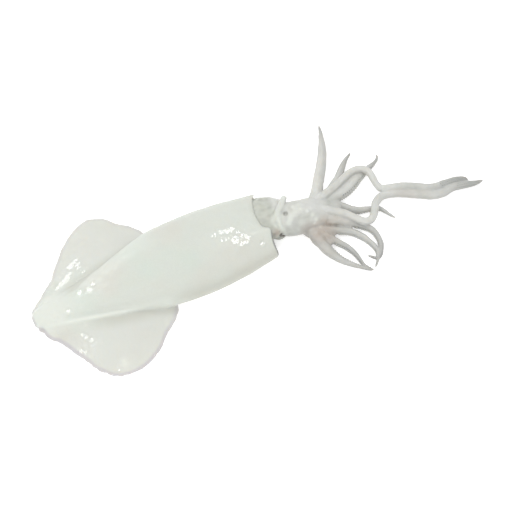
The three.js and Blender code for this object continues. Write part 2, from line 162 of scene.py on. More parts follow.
# The eight arms and two tentacles. Each has its route from inside the head to the tip, and at even
# shares of its length: half width, greyness of the skin, which at the roots of the near arms also
# stands in for painted shade, and pinkness of the skin. "roof" is how far its top is drawn up into
# a ridge.
LIMBS = {
    "arm_1": {
        "route": [(243, 1, 12), (251.8, 11.8, 12), (259.3, 24, 8.5), (269.2, 38.5, 5.4),
                  (277.4, 53.7, 4), (283.4, 68.3, 2.6), (286.6, 78.2, 1.5)],
        "half": [5.6, 5.0, 4.7, 4.3, 3.7, 2.3, 0.8],
        "grey": [0.1, 0.04, 0.06, 0.14, 0.28, 0.48, 0.78],
        "pink": [0, 0],
        "roof": 0.34,
    },
    "arm_2": {
        "route": [(248.5, 1.2, 11.5), (264, 10.9, 9), (275, 19.4, 6), (282.9, 28.3, 3.6),
                  (290.6, 35.8, 2.4), (298.8, 41.6, 1.3)],
        "half": [4.0, 3.4, 3.6, 3.2, 2.1, 0.7],
        "grey": [0.1, 0.1, 0.16, 0.3, 0.52, 0.74],
        "pink": [0, 0],
        "roof": 0.25,
    },
    "arm_3": {
        "route": [(246, 0, 11), (258.5, 3.2, 9.5), (269, 4.9, 6.8), (280.6, 9.2, 5),
                  (291.2, 15, 3.8), (304.5, 20.4, 2.6), (315, 25.5, 2), (318, 31, 1.3)],
        "half": [4.7, 5.4, 5.9, 5.5, 3.8, 2.0, 0.7],
        "grey": [0.1, 0.06, 0.02, 0, 0.1, 0.55, 0.82],
        "pink": [0, 0],
        "roof": 0.05,
    },
    "arm_4": {
        "route": [(246, -2, 9), (257.5, 0, 8), (267, -6.5, 5), (276, -13, 3.2), (285, -15.5, 2.6),
                  (294.5, -18.5, 2.2), (300, -27.5, 1.8), (303.3, -32.7, 1.2)],
        "half": [4.6, 4.5, 3.9, 3.2, 2.5, 1.7, 0.7],
        "grey": [0.1, 0.15, 0.3, 0.36, 0.4, 0.42, 0.6],
        "pink": [0, 0],
        "roof": 0.2,
    },
    "arm_5": {
        "route": [(240, -10, 10.5), (248, -14.6, 10), (256, -18, 8), (266, -23.5, 5.2),
                  (274, -29, 3.8), (279.5, -35, 3), (281.2, -44, 2.5), (279, -52.5, 2.1),
                  (272.6, -60.2, 1.7), (265.6, -54.4, 1.2)],
        "half": [4.6, 4.4, 3.8, 3.1, 2.8, 2.4, 1.8, 0.9],
        "grey": [0, 0, 0.18, 0.33, 0.42, 0.58, 0.84, 0.95],
        "pink": [0.45, 0.45, 0.26, 0.08, 0, 0, 0, 0],
        "roof": 0.25,
    },
    "arm_6": {
        "route": [(231, -12, 10), (239.5, -20.5, 9), (252, -25.5, 6.2), (262.5, -30, 4.2),
                  (269, -37, 3.2), (273.5, -46.5, 2.7), (274.6, -54.5, 2.2), (271.6, -61.4, 1.7),
                  (266.2, -67.2, 1.2)],
        "half": [4.9, 4.1, 3.5, 3.2, 2.6, 1.8, 0.7],
        "grey": [0.1, 0.24, 0.32, 0.29, 0.32, 0.48, 0.7],
        "pink": [0.5, 0.45, 0.15, 0, 0, 0, 0],
        "roof": 0.3,
    },
    "arm_7": {
        "route": [(233, -14, 9), (239.5, -24.5, 8), (247.5, -33.5, 4.8), (254, -42, 3.2),
                  (257.5, -51.5, 2.5), (259.3, -62, 1.9), (264.6, -68.7, 1.2)],
        "half": [4.7, 4.1, 3.2, 2.8, 2.2, 1.6, 0.7],
        "grey": [0.2, 0.27, 0.34, 0.45, 0.66, 0.8, 0.8],
        "pink": [0.6, 0.3, 0.1, 0, 0, 0, 0],
        "roof": 0.2,
    },
    "arm_8": {
        "route": [(230.5, -8, 10), (233, -18.5, 9), (234.8, -28, 7.4), (238, -39.5, 4.8),
                  (244.5, -51, 3.2), (254.4, -61.2, 2.1), (263.4, -68.6, 1.2)],
        "half": [5.2, 5.4, 5.0, 4.1, 2.8, 1.8, 0.7],
        "grey": [0.2, 0.3, 0.36, 0.34, 0.38, 0.5, 0.7],
        "pink": [0.5, 0.6, 0.4, 0.2, 0.05, 0, 0],
        "roof": 0.15,
    },
    "tentacle_1": {
        "route": [(243, 1, 15), (255, 4.6, 15), (267.1, 9.5, 13.2), (277.6, 14.5, 11.5),
                  (285.4, 18.2, 10.2), (292.5, 19, 9.5), (298, 17, 9.2), (301, 13, 8.7),
                  (302.3, 1.5, 5.2), (304.5, -2.8, 3.6), (309.5, -4.3, 3), (321.5, -7.8, 3),
                  (332, -13.1, 3.1), (342, -18.9, 3.1), (354, -20.4, 3), (367, -21.3, 2.8),
                  (375, -24.6, 2.7)],
        "half": [3.7, 3.6, 3.4, 3.3, 3.2, 3.2, 3.4, 3.6, 3.5, 3.3, 2.5],
        "grey": [0.1, 0.1, 0.09, 0.04, 0, 0, 0.12, 0.27, 0.32, 0.54, 1],
        "pink": [0, 0],
        "roof": 0,
    },
    "tentacle_2": {
        "route": [(236, -1, 16), (244.5, -6, 16), (253.5, -10.5, 13.5), (263.5, -16.5, 10.8),
                  (270.5, -23.5, 9.2), (276, -28.8, 8.8), (282, -28.8, 8.6), (288, -22.5, 8),
                  (293, -15, 6.6), (301.5, -10.2, 4.2), (311, -11.4, 3.4), (321, -15.7, 3.5),
                  (330.5, -20.9, 3.6), (340.5, -26.3, 3.5), (350, -27.8, 3), (358.5, -26.4, 2.8),
                  (369, -27.8, 2.6), (380, -30.2, 2.3), (387, -29.6, 1.4)],
        "half": [4.4, 4.3, 3.9, 3.5, 3.3, 3.4, 3.6, 3.8, 4, 4, 3.4, 3.1, 1],
        "grey": [0.05, 0.05, 0.05, 0, 0, 0.05, 0.15, 0.2, 0.2, 0.24, 0.36, 0.48, 0.8],
        "pink": [0, 0, 0, 0, 0, 0, 0, 0.3, 0.2, 0, 0, 0, 0],
        "roof": 0,
    },
}

# Where suckers stand on each limb: angle round it from its right side, rows, and the share of the
# length where they begin.
ORAL_SIDES = {
    "arm_1": (-40, 2, 0.3), "arm_2": (-35, 2, 0.35), "arm_3": (20, 2, 0.28),
    "arm_4": (-45, 2, 0.35), "arm_5": (-30, 2, 0.4), "arm_6": (-35, 2, 0.35),
    "arm_7": (-20, 2, 0.35), "arm_8": (205, 2, 0.35), "tentacle_1": (65, 4, 0.84),
    "tentacle_2": (55, 4, 0.86),
}

# Skin and flesh that fill the corners between the near arms, and between head, arms and tentacles:
# centre, half sizes, turn.
WEBS = [
    ((240, -22, 5.2), (11, 15, 4.8), -0.2),
    ((238, -12.5, 5), (10.5, 13, 9.5), 0),
    ((254, -5, 7), (12, 7.5, 6.5), -0.2),
    ((255, -21.5, 2.5), (10, 4.5, 3), -0.35),
    # This one fills the crevice under the neck, where the pits paint it dark as shade.
    ((208.4, -9.3, 4.4), (5.3, 3.7, 4.4), -0.2),
    ((231.6, -18.4, 4.6), (6.5, 3.6, 4.2), -0.75),
]

# Pits on the head, pressed in and painted dark as shade: the eye hole and the crevice under the
# neck. Centre, radius, depth that the flesh is pressed in.
PITS = [
    ((216.1, -2.7, 23.2), 2.4, 2.6),
    ((206.4, -10.8, 14.4), 1.7, 0.5),
    ((207.5, -12.6, 11.4), 2.3, 0.8),
    ((208.4, -13.2, 8.6), 2.5, 0.7),
    ((205.2, -13.0, 7.0), 2.0, 0.5),
    ((210.4, -12.4, 7.4), 1.9, 0.4),
]

# Brownish skin left of the crevice, which also stands in for the crevice's shade: centre, radius.
BROWN_SHADE = ((204.2, -9.9, 14.2), 5.8)

# Wet spots that catch the light, at the mouth, the tail and on either fin: slope of their water
# along X and Y, then centre, radius and height of the ripples of each.
TUBE_WET = [
    ((0.16, -0.11), [
        ((154.4, -1.4, 29.7), 3, 0.03), ((151.2, -0.8, 29.9), 2.6, 0.03),
        ((160.7, -0.8, 29), 2.8, 0.06), ((165.1, -1.6, 28.5), 3, 0.09),
        ((170, -1.6, 27.7), 3.4, 0.13), ((173.3, -5.5, 27.1), 2.8, 0.16),
        ((176.3, -9.5, 26.4), 2.6, 0.16), ((178.2, -12.9, 25.7), 2.8, 0.13),
        ((175.8, -15.3, 25.6), 2.6, 0.13), ((171.1, -15.2, 26.4), 3.2, 0.13),
        ((167.7, -12.3, 27.5), 3.2, 0.14), ((171, -9.6, 27.2), 3, 0.17),
        ((188.3, -19.9, 21.8), 2.2, 0.05), ((159.1, -8.3, 29), 2, 0.5),
    ]),
    ((-0.23, 0.0), [
        ((41, 0.4, 19.1), 2.6, 0.08), ((48.8, -1.0, 21.4), 2.7, 0.08),
        ((53.0, 1.8, 22.4), 2.4, 0.12), ((27.4, -8.8, 14.2), 2.5, 0.1),
    ]),
    ((-0.17, 0.285), [
        ((48.7, 36.8, 5.1), 2.8, 0.04), ((45.1, 35, 4.9), 2.5, 0.04),
        ((42.2, 33.7, 4.7), 2.4, 0.04), ((49.4, 32.6, 5.7), 2.4, 0.04),
        ((49.2, 28.8, 6.3), 2, 0.1), ((40.5, 27.4, 5.6), 1.8, 0.05), ((38, 24.6, 5.9), 2.6, 0.04),
        ((35, 22.1, 6.2), 3, 0.04), ((31, 20.2, 6.2), 2.6, 0.04), ((27.5, 18.8, 6.2), 1.8, 0.05),
        ((51.3, 21.9, 7.5), 1.8, 0.1),
    ]),
    ((-0.245, -0.175), [
        ((31.3, -28.2, 5.8), 2, 0.05), ((33.2, -31, 5.6), 2.4, 0.05),
        ((35.8, -35, 5.3), 2.2, 0.05), ((25.1, -38.6, 3), 2, 0.05), ((27.8, -41.3, 3.3), 1.6, 0.1),
        ((46.5, -66, 4), 1.8, 0.1),
    ]),
]
HEAD_WET = [
    ((0.11, -0.11), [((229, -4, 23.8), 1.6, 0.1)]),
    ((0.1, -0.1), [((233.1, -7.1, 23.1), 1.5, 0.1)]),
]

# Softly wet skin at the mouth, and painted sheen and highlights on the tail's back and the near
# fin: centre, radius.
TUBE_DAMP = [((168, -8, 27.5), 13)]
PAINTED_SHEEN = [
    ((50, 1.6, 22), 6), ((58, 2.6, 23.5), 6), ((66, 4, 25.4), 6), ((74, 6.4, 26.6), 5),
    ((82.5, -39, 5.6), 2.4), ((36, -22, 8.4), 3), ((30, -46, 3.6), 3), ((52, -62, 4), 5),
]

# Painted highlights on the head and neck: centre, radius.
PAINTED_GLINTS = [
    ((229, -4, 23.8), 2), ((233.1, -7.1, 23.1), 1.8), ((236.1, -12, 21.2), 2.2),
    ((237.5, -15.5, 18.5), 2.2), ((235.4, -16.9, 16.7), 1.6), ((209, 4.3, 19.9), 1.6),
    ((202.3, 5.3, 19.5), 2.4), ((224, 0.6, 23.6), 2.4),
]

# Painted shade on the neck and along the head's lower edge: centre, radius, strength.
SHADE_SPOTS = [
    ((198.5, 10, 19.2), 5, 0.14), ((197.9, -1.4, 18.7), 4.5, 0.24), ((210.2, 13.6, 19.1), 3.5, 0.1),
    ((222.3, -16, 11.4), 3.2, 0.2), ((216, -15, 10), 4, 0.12), ((203.5, -6, 15), 3.5, 0.2),
    ((219.5, -11.6, 19.4), 6, 0.2), ((226, -10, 21.6), 5, 0.1),
]

# How noises are stretched: dents in the tube, streaks along the neck, and small veins on the head.
DENTS = Vector((0.10, 0.16, 0.16))
STREAKS = Vector((0.07, 0.45, 0.45))
VEINS = Vector((0.35, 0.8, 0.8))

# Softboxes: name, azimuth and elevation in degrees, distance, size and power. Azimuth 0 is behind
# the squid as the camera sees it, 90 to the right. The first four light the wet spots.
SOFTBOXES = [
    ("Mouth softbox", 34, 58, 1.5, 0.26, 3.0), ("Tail softbox", -67, 52, 1.5, 0.24, 2.2),
    ("Far fin softbox", -41, 24, 1.5, 0.24, 1.5), ("Near fin softbox", -105, 60, 1.5, 0.22, 1.6),
    ("Top softbox", 0, 85, 1.8, 1.6, 5.0), ("Front softbox", 190, 48, 1.8, 1.5, 10.5),
]

# The place that the camera looks at.
AIM = (183.82, -16.736, 0.0)


class TubeSettings(bpy.types.PropertyGroup):
    """Sizes of the mantle tube and its fins."""

    wall: FloatProperty(
        name="Wall", default=0.0025, unit="LENGTH",
        description="Thickness of the tube's wall at the mouth")
    fin_edge: FloatProperty(
        name="Fin edge", default=0.0016, unit="LENGTH",
        description="Thickness of the fins near their edge")
    fin_root: FloatProperty(
        name="Fin root", default=0.0145, unit="LENGTH",
        description="Height of the fins beside the thickest part of the tube")
    wave: FloatProperty(
        name="Fin waves", default=0.0009, unit="LENGTH",
        description="Height of the slow waves in the fins")
    grain: FloatProperty(
        name="Mesh grain", default=0.00078, unit="LENGTH",
        description="Size of the mesh's squares on the tube")
    relief: FloatProperty(
        name="Relief", default=0.00028, unit="LENGTH",
        description="Height of the soft unevenness of the skin")


class HeadSettings(bpy.types.PropertyGroup):
    """Sizes of the head, arms and tentacles."""

    grain: FloatProperty(
        name="Mesh grain", default=0.0006, unit="LENGTH",
        description="Size of the mesh's squares on head and arms")
    relief: FloatProperty(
        name="Relief", default=0.0003, unit="LENGTH",
        description="Height of the wrinkles on head and arms")


class FleshSettings(bpy.types.PropertyGroup):
    """Colours and wetness of the flesh."""

    pale: FloatVectorProperty(
        name="Pale flesh", default=(0.597, 0.620, 0.568), subtype="COLOR", size=3, min=0, max=1,
        description="Main colour of the tube")
    cool: FloatVectorProperty(
        name="Cool flesh", default=(0.574, 0.620, 0.562), subtype="COLOR", size=3, min=0, max=1,
        description="Greenish tint in the tube")
    warm: FloatVectorProperty(
        name="Warm flesh", default=(0.598, 0.601, 0.548), subtype="COLOR", size=3, min=0, max=1,
        description="Beige tint in the tube")
    limb: FloatVectorProperty(
        name="Limb flesh", default=(0.612, 0.618, 0.590), subtype="COLOR", size=3, min=0, max=1,
        description="Colour of the pale limbs and head")
    # Also the colour of painted light: highlights, sheen and light painted beside creases and at
    # the rim.
    bright: FloatVectorProperty(
        name="Bright flesh", default=(0.680, 0.705, 0.650), subtype="COLOR", size=3, min=0, max=1,
        description="Colour of the tail's tip, ridges and folds")
    limb_cool: FloatVectorProperty(
        name="Cool limb", default=(0.566, 0.578, 0.542), subtype="COLOR", size=3, min=0, max=1,
        description="Greyish tint in the limbs and head")
    limb_warm: FloatVectorProperty(
        name="Warm limb", default=(0.606, 0.604, 0.566), subtype="COLOR", size=3, min=0, max=1,
        description="Warm tint in the limbs and head")
    # Also painted shade on the rim's cut face and on the sides and undersides of head and limbs.
    grey: FloatVectorProperty(
        name="Grey skin", default=(0.26, 0.26, 0.252), subtype="COLOR", size=3, min=0, max=1,
        description="Colour of the tips and clubs")
    pink: FloatVectorProperty(
        name="Pink skin", default=(0.49, 0.425, 0.365), subtype="COLOR", size=3, min=0, max=1,
        description="Colour of the web between the near arms")
    # Painted shade, laid deep in folds, creases and nooks by how shut in each point is.
    shade: FloatVectorProperty(
        name="Shade", default=(0.20, 0.18, 0.14), subtype="COLOR", size=3, min=0, max=1,
        description="Colour deep in folds and creases")
    # Painted shade in the eye hole and in the crevice under the neck.
    pit_shade: FloatVectorProperty(
        name="Pit", default=(0.12, 0.11, 0.095), subtype="COLOR", size=3, min=0, max=1,
        description="Colour in the hole and the crevice behind the head")
    green: FloatVectorProperty(
        name="Green skin", default=(0.47, 0.49, 0.425), subtype="COLOR", size=3, min=0, max=1,
        description="Greenish skin of the neck and at the roots of some arms")
    # Also painted shade along the fins' outlines and the tube's far outline.
    edge: FloatVectorProperty(
        name="Thin edge", default=(0.518, 0.508, 0.516), subtype="COLOR", size=3, min=0, max=1,
        description="Lilac grey of the thin edges of fins and tube")
    # Painted shade beside both fins, low on the near flank and at the rim.
    olive_shade: FloatVectorProperty(
        name="Olive skin", default=(0.512, 0.518, 0.460), subtype="COLOR", size=3, min=0, max=1,
        description="Olive tint of the near fin beside the tube")
    fin: FloatVectorProperty(
        name="Fin flesh", default=(0.612, 0.624, 0.582), subtype="COLOR", size=3, min=0, max=1,
        description="Colour of the fins away from the tube")
    coat: FloatProperty(
        name="Wetness", default=1.0, min=0, max=1,
        description="Strength of the film of water in the wet patches")
    damp: FloatProperty(
        name="Dampness", default=0.12, min=0, max=1,
        description="Strength of the film of water elsewhere")
    depth: FloatProperty(
        name="Depth of light", default=0.003, unit="LENGTH",
        description="How far light runs under the skin")


class SuckerSettings(bpy.types.PropertyGroup):
    """Size and spacing of the suckers."""

    arm_radius: FloatProperty(
        name="Arm sucker", default=0.0009, unit="LENGTH",
        description="Radius of the suckers on the arms")
    club_radius: FloatProperty(
        name="Club sucker", default=0.0011, unit="LENGTH",
        description="Radius of the suckers on the clubs")
    sides: IntProperty(
        name="Sides", default=8, min=5, max=16,
        description="Sides of one sucker")


class StageSettings(bpy.types.PropertyGroup):
    """Floor, lights and camera."""

    floor: FloatVectorProperty(
        name="Floor", default=(0.80, 0.80, 0.80), subtype="COLOR", size=3, min=0, max=1,
        description="Colour of the floor")
    ambient: FloatProperty(
        name="Ambient light", default=0.62, min=0,
        description="Strength of the light from all round")
    glow: FloatProperty(
        name="Floor glow", default=0.50, min=0,
        description="Light given out by the floor itself")
    lens: FloatProperty(
        name="Lens", default=85.0, unit="CAMERA",
        description="Focal length of the camera")
    distance: FloatProperty(
        name="Distance", default=0.97732, unit="LENGTH",
        description="From the camera to the body")
    elevation: FloatProperty(
        name="Elevation", default=math.radians(60.0), subtype="ANGLE",
        description="Angle of the camera above the floor")
    turn: FloatProperty(
        name="Turn", default=math.radians(24.603), subtype="ANGLE",
        description="Angle from the body's side to the camera's line")


class SquidSettings(bpy.types.PropertyGroup):
    """All settings of the squid."""

    tube: PointerProperty(type=TubeSettings)
    head: PointerProperty(type=HeadSettings)
    flesh: PointerProperty(type=FleshSettings)
    suckers: PointerProperty(type=SuckerSettings)
    stage: PointerProperty(type=StageSettings)


def between(table, at):
    """Values of a station table at a place: cubic through its rows, held beyond its ends."""
    last = len(table) - 1
    here = min(max(at, table[0][0]), table[last][0])
    i = 0
    while i < last - 1 and here > table[i + 1][0]:
        i += 1
    low, high = table[i], table[i + 1]
    span = high[0] - low[0]
    t = (here - low[0]) / span
    values = []
    for k in range(1, len(low)):
        before, after = table[max(i - 1, 0)], table[min(i + 2, last)]
        slope_low = (high[k] - before[k]) / (high[0] - before[0])
        slope_high = (after[k] - low[k]) / (after[0] - low[0])
        start = low[k] * (1 + 2 * t) * (1 - t) ** 2 + slope_low * span * t * (1 - t) ** 2
        end = high[k] * (3 - 2 * t) * t ** 2 - slope_high * span * (1 - t) * t ** 2
        values.append(start + end)
    return values


def shares(values):
    """A station table that spreads values evenly from 0 to 1."""
    return [(i / (len(values) - 1), value) for i, value in enumerate(values)]


def ease(low, high, value):
    """0 at low, 1 at high, held beyond them and smooth between them. low may be the larger."""
    t = min(max((value - low) / (high - low), 0.0), 1.0)
    return t * t * (3 - 2 * t)


def within(co, centre, radius, core):
    """1 in the core of a round spot, 0 at its radius. core is a share of the radius."""
    return ease(radius, radius * core, (co - centre).length)


def spots_of(table):
    """A table of spots with their centres as vectors."""
    return [(Vector(centre), *rest) for centre, *rest in table]


class Route:
    """A smooth line through points, measured along its length."""

    SPAN_STEPS = 24

    def __init__(self, points):
        knots = [Vector(p).to_3d() for p in points]
        knots = [2 * knots[0] - knots[1]] + knots + [2 * knots[-1] - knots[-2]]
        self.line = [knots[1]]
        for p0, p1, p2, p3 in zip(knots, knots[1:], knots[2:], knots[3:]):
            d0, d1, d2 = ((b - a).length ** 0.5 for a, b in ((p0, p1), (p1, p2), (p2, p3)))
            m1 = ((p1 - p0) / d0 - (p2 - p0) / (d0 + d1) + (p2 - p1) / d1) * d1
            m2 = ((p2 - p1) / d1 - (p3 - p1) / (d1 + d2) + (p3 - p2) / d2) * d1
            for step in range(1, self.SPAN_STEPS + 1):
                t = step / self.SPAN_STEPS
                bend = (3 * (p2 - p1) - 2 * m1 - m2) * t ** 2
                self.line.append(p1 + m1 * t + bend + (2 * (p1 - p2) + m1 + m2) * t ** 3)
        lengths = [(b - a).length for a, b in zip(self.line, self.line[1:])]
        self.marks = np.concatenate(([0.0], np.cumsum(lengths)))
        self.length = float(self.marks[-1])

    def at(self, share):
        """Place and direction at a share of the length."""
        mark = min(max(share, 0.0), 1.0) * self.length
        i = int(min(max(np.searchsorted(self.marks, mark) - 1, 0), len(self.line) - 2))
        a, b = self.line[i], self.line[i + 1]
        t = (mark - self.marks[i]) / (self.marks[i + 1] - self.marks[i])
        return a.lerp(b, t), (b - a).normalized()


def tree_of(points):
    """Search tree over some points."""
    tree = kdtree.KDTree(len(points))
    for i, place in enumerate(points):
        tree.insert(place, i)
    tree.balance()
    return tree


def route_tree(routes):
    """Search tree over all the points of some routes."""
    return tree_of([place for route in routes for place in route.line])


def skin(bm, rings):
    """Draws a closed skin through rings of points: each ring is extruded from the one before it."""
    loop = bmesh.ops.create_circle(bm, segments=len(rings[0]), radius=1.0)["verts"]
    first = list(loop)
    for vert, point in zip(loop, rings[0]):
        vert.co = point
    for ring in rings[1:]:
        edges = [bm.edges.get(pair) for pair in zip(loop, loop[1:] + loop[:1])]
        drawn = bmesh.ops.extrude_edge_only(bm, edges=edges)["geom"]
        fresh = {part for part in drawn if isinstance(part, bmesh.types.BMVert)}
        loop = [
            next(e.other_vert(v) for e in v.link_edges if e.other_vert(v) in fresh) for v in loop]
        for vert, point in zip(loop, ring):
            vert.co = point
    bmesh.ops.contextual_create(bm, geom=first)
    bmesh.ops.contextual_create(bm, geom=loop)


def fuse(bm, name, grain, calm):
    """One closed, even skin over all the bodies in a bmesh, as a new object in millimetres."""
    bmesh.ops.recalc_face_normals(bm, faces=bm.faces)
    mesh = bpy.data.meshes.new(name)
    bm.to_mesh(mesh)
    bm.free()
    body = bpy.data.objects.new(name, mesh)
    bpy.context.scene.collection.objects.link(body)
    remesh = body.modifiers.new("One skin", "REMESH")
    remesh.mode = "VOXEL"
    remesh.voxel_size = grain / MM
    remesh.adaptivity = 0.0
    graph = bpy.context.evaluated_depsgraph_get()
    whole = bpy.data.meshes.new_from_object(body.evaluated_get(graph))
    body.modifiers.remove(remesh)
    body.data = whole
    bpy.data.meshes.remove(mesh)
    whole.name = name
    shape = bmesh.new()
    shape.from_mesh(whole)
    for _ in range(calm):
        bmesh.ops.smooth_vert(
            shape, verts=shape.verts, factor=0.5, use_axis_x=True, use_axis_y=True, use_axis_z=True)
    return body, shape


def press(shape, height):
    """Moves each point of a skin along its normal, by what a function of place and normal gives."""
    shape.normal_update()
    moves = [(vert, vert.normal * height(vert.co, vert.normal)) for vert in shape.verts]
    for vert, move in moves:
        vert.co += move
        vert.co.z = min(max(vert.co.z, SKIN_LOWEST), TOP)
        vert.co.y = max(vert.co.y, NEAREST)


def settle(shape, table):
    """Wet spots moved onto a skin, each with the way its water faces."""
    shape.normal_update()
    tree = BVHTree.FromBMesh(shape)
    settled = []
    for (lean_x, lean_y), spots in table:
        face = Vector((lean_x, lean_y, math.sqrt(1 - lean_x ** 2 - lean_y ** 2)))
        for spot, radius, height in spots:
            settled.append((tree.find_nearest(Vector(spot))[0], radius, height, face))
    return settled


def water(co, normal, spots):
    """Height of the wet spots' water over the skin at a place: nearly flat, a little rippled."""
    total, share = 0.0, 0.0
    for spot, radius, height, face in spots:
        far = (co - spot).length
        if far > radius * 1.5:
            continue
        fade = 1 - ease(radius * 0.75, radius * 1.5, far)
        level = (spot - co).dot(face) / max(normal.dot(face), 0.4)
        total += fade * (level + height * (noise.noise(co * 0.42) + 0.6 * noise.noise(co * 0.95)))
        share += fade
    return total / max(share, 1.0)


def wetness(co, spots, damp=()):
    """How wet a place is, 0 to 1: full in the wet spots, and less where the skin is only damp."""
    ragged = 1 + 0.35 * noise.noise(co * 0.55)
    best = max(
        ease(radius * 1.15, radius * 0.8, (co - spot).length * ragged)
        for spot, radius, _, _ in spots)
    for spot, radius in damp:
        soft = within(co, Vector(spot), radius, 0.4)
        best = max(best, 0.5 * soft * ease(-0.3, 0.2, noise.noise(co * 0.35)))
    return best


def nooks(shape, reach, rays=18):
    """How shut in each point is, 0 to 1: the share of rays that hit flesh or floor within reach.

    A near hit counts most, a far one least, and the pale floor only a little.
    """
    lift, fall_off, floor_share = 0.25, 0.6, 0.15
    shape.normal_update()
    tree = BVHTree.FromBMesh(shape)
    turn = math.pi * (3 - math.sqrt(5))
    spread = []
    for i in range(rays):
        up = math.sqrt((i + 0.5) / rays)
        side = math.sqrt(1 - up * up)
        spread.append(Vector((side * math.cos(turn * i), side * math.sin(turn * i), up)))
    found = np.zeros(len(shape.verts))
    for k, vert in enumerate(shape.verts):
        tilt = vert.normal.to_track_quat("Z", "Y")
        start = vert.co + vert.normal * lift
        hits = 0.0
        for ray in spread:
            way = tilt @ ray
            place, _, _, far = tree.ray_cast(start, way, reach)
            if place is not None:
                hits += 1.0 - fall_off * far / reach
            elif way.z < 0 and start.z + way.z * reach < 0:
                hits += floor_share
        found[k] = hits / rays
    return even(shape, found, 3)


def even(shape, values, rounds):
    """Values of a skin's points, averaged with their neighbours a few times."""
    shape.verts.index_update()
    pairs = np.array([[v.index for v in edge.verts] for edge in shape.edges])
    count = np.bincount(pairs.ravel(), minlength=len(values)) + 1.0
    for _ in range(rounds):
        total = values.copy()
        np.add.at(total, pairs[:, 0], values[pairs[:, 1]])
        np.add.at(total, pairs[:, 1], values[pairs[:, 0]])
        values = total / count
    return values


def finish_piece(body, shape, layers, material, node_name):
    shape.transform(TO_FRAME)
    shape.to_mesh(body.data)
    shape.free()
    for name, values in layers.items():
        layer = body.data.attributes.new(name=name, type="FLOAT", domain="POINT")
        layer.data.foreach_set("value", np.asarray(values, dtype=np.float32))
    body.data.shade_smooth()
    body.data.materials.append(material)
    if node_name:
        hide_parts(node_name)
    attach(body, "root")


def flesh_ring(x, centre, half, low, high, sides):
    """A flesh cross-section: domed on top and pressed nearly flat underneath. x may hang on y."""
    waist = low + (high - low) * 0.42
    ring = []
    for s in range(sides):
        angle = 2 * math.pi * s / sides
        across = math.copysign(abs(math.cos(angle)) ** 0.92, math.cos(angle))
        rise = abs(math.sin(angle)) ** 0.95
        z = waist + (high - waist) * rise if math.sin(angle) > 0 else waist - (waist - low) * rise
        y = centre + half * across
        ring.append(Vector((x(y) if callable(x) else x, y, z)))
    return ring


def tube_centre(x):
    """Sideways place of the tube's centre line, which bows slightly to the near side."""
    bow = -TUBE_BOW * math.sin(math.pi * min(max(x, 0.0), TUBE_LENGTH) / TUBE_LENGTH)
    return bow + MOUTH_SHIFT * ease(140.0, TUBE_LENGTH, x)


def tube_ring(x, inset, back=0.0, slant=0.0, sides=128):
    """The tube's ring at a distance from the tail, shrunk all round by inset and drawn back.

    slant draws it back further on the near side, where the cut wall shows.
    """
    half, high = between(TUBE_STATIONS, x)
    hollow = between(FAR_HOLLOW, x)[0] / 2
    share = (x / TUBE_LENGTH) ** RIM_POWER
    ring = flesh_ring(
        lambda y: x - back + (between(RIM_STATIONS, y)[0] - slant * ease(8.0, 18.0, -y)) * share,
        tube_centre(x) - hollow, half - hollow - inset,
        inset - TUBE_SAG * min(1.0, x / 20.0), high - inset, sides)
    for point in ring:
        point.z = max(point.z, inset + RINGS_LOWEST)
    return ring


def shaved_ring(x, inset, back, slant):
    """An inner ring of the tube. Near the mouth it thins the wall above and on the far side."""
    share = 0.42 * ease(14.0, 2.0, TUBE_LENGTH - x)
    outer = tube_ring(x, 0.0, back, slant)
    return [point.lerp(out, share * ease(-16.0, -6.0, point.y))
            for point, out in zip(tube_ring(x, inset, back, slant), outer)]


def tube_rings(wall):
    """Rings over the outside of the tube, round the cut rim and down into the hollow."""
    places = [TUBE_LENGTH * (i / TUBE_STEPS) ** 1.3 for i in range(TUBE_STEPS)]
    rings = [tube_ring(x, 0.0, 0.0, CUT_SLANT) for x in places]
    rings.append(tube_ring(TUBE_LENGTH, 0.12, 0.5, CUT_SLANT))
    rings += [
        shaved_ring(TUBE_LENGTH, wall * part, back, CUT_SLANT * lean) for part, back, lean in LIP]
    for i in range(1, HOLLOW_STEPS + 1):
        x = TUBE_LENGTH - 1.0 - (CAVITY_DEPTH - 1.0) * i / HOLLOW_STEPS
        rings.append(shaved_ring(x, wall + 0.5 * ease(0.9, 1.0, i / HOLLOW_STEPS), 0.0, 0.0))
    rings.append(tube_ring(TUBE_LENGTH - CAVITY_DEPTH - 1.5, wall + 4.0))
    return rings


def flat_noise(place, scale, pattern):
    """Noise at a place seen from above."""
    return noise.noise(Vector((place.x * scale, place.y * scale, pattern)))


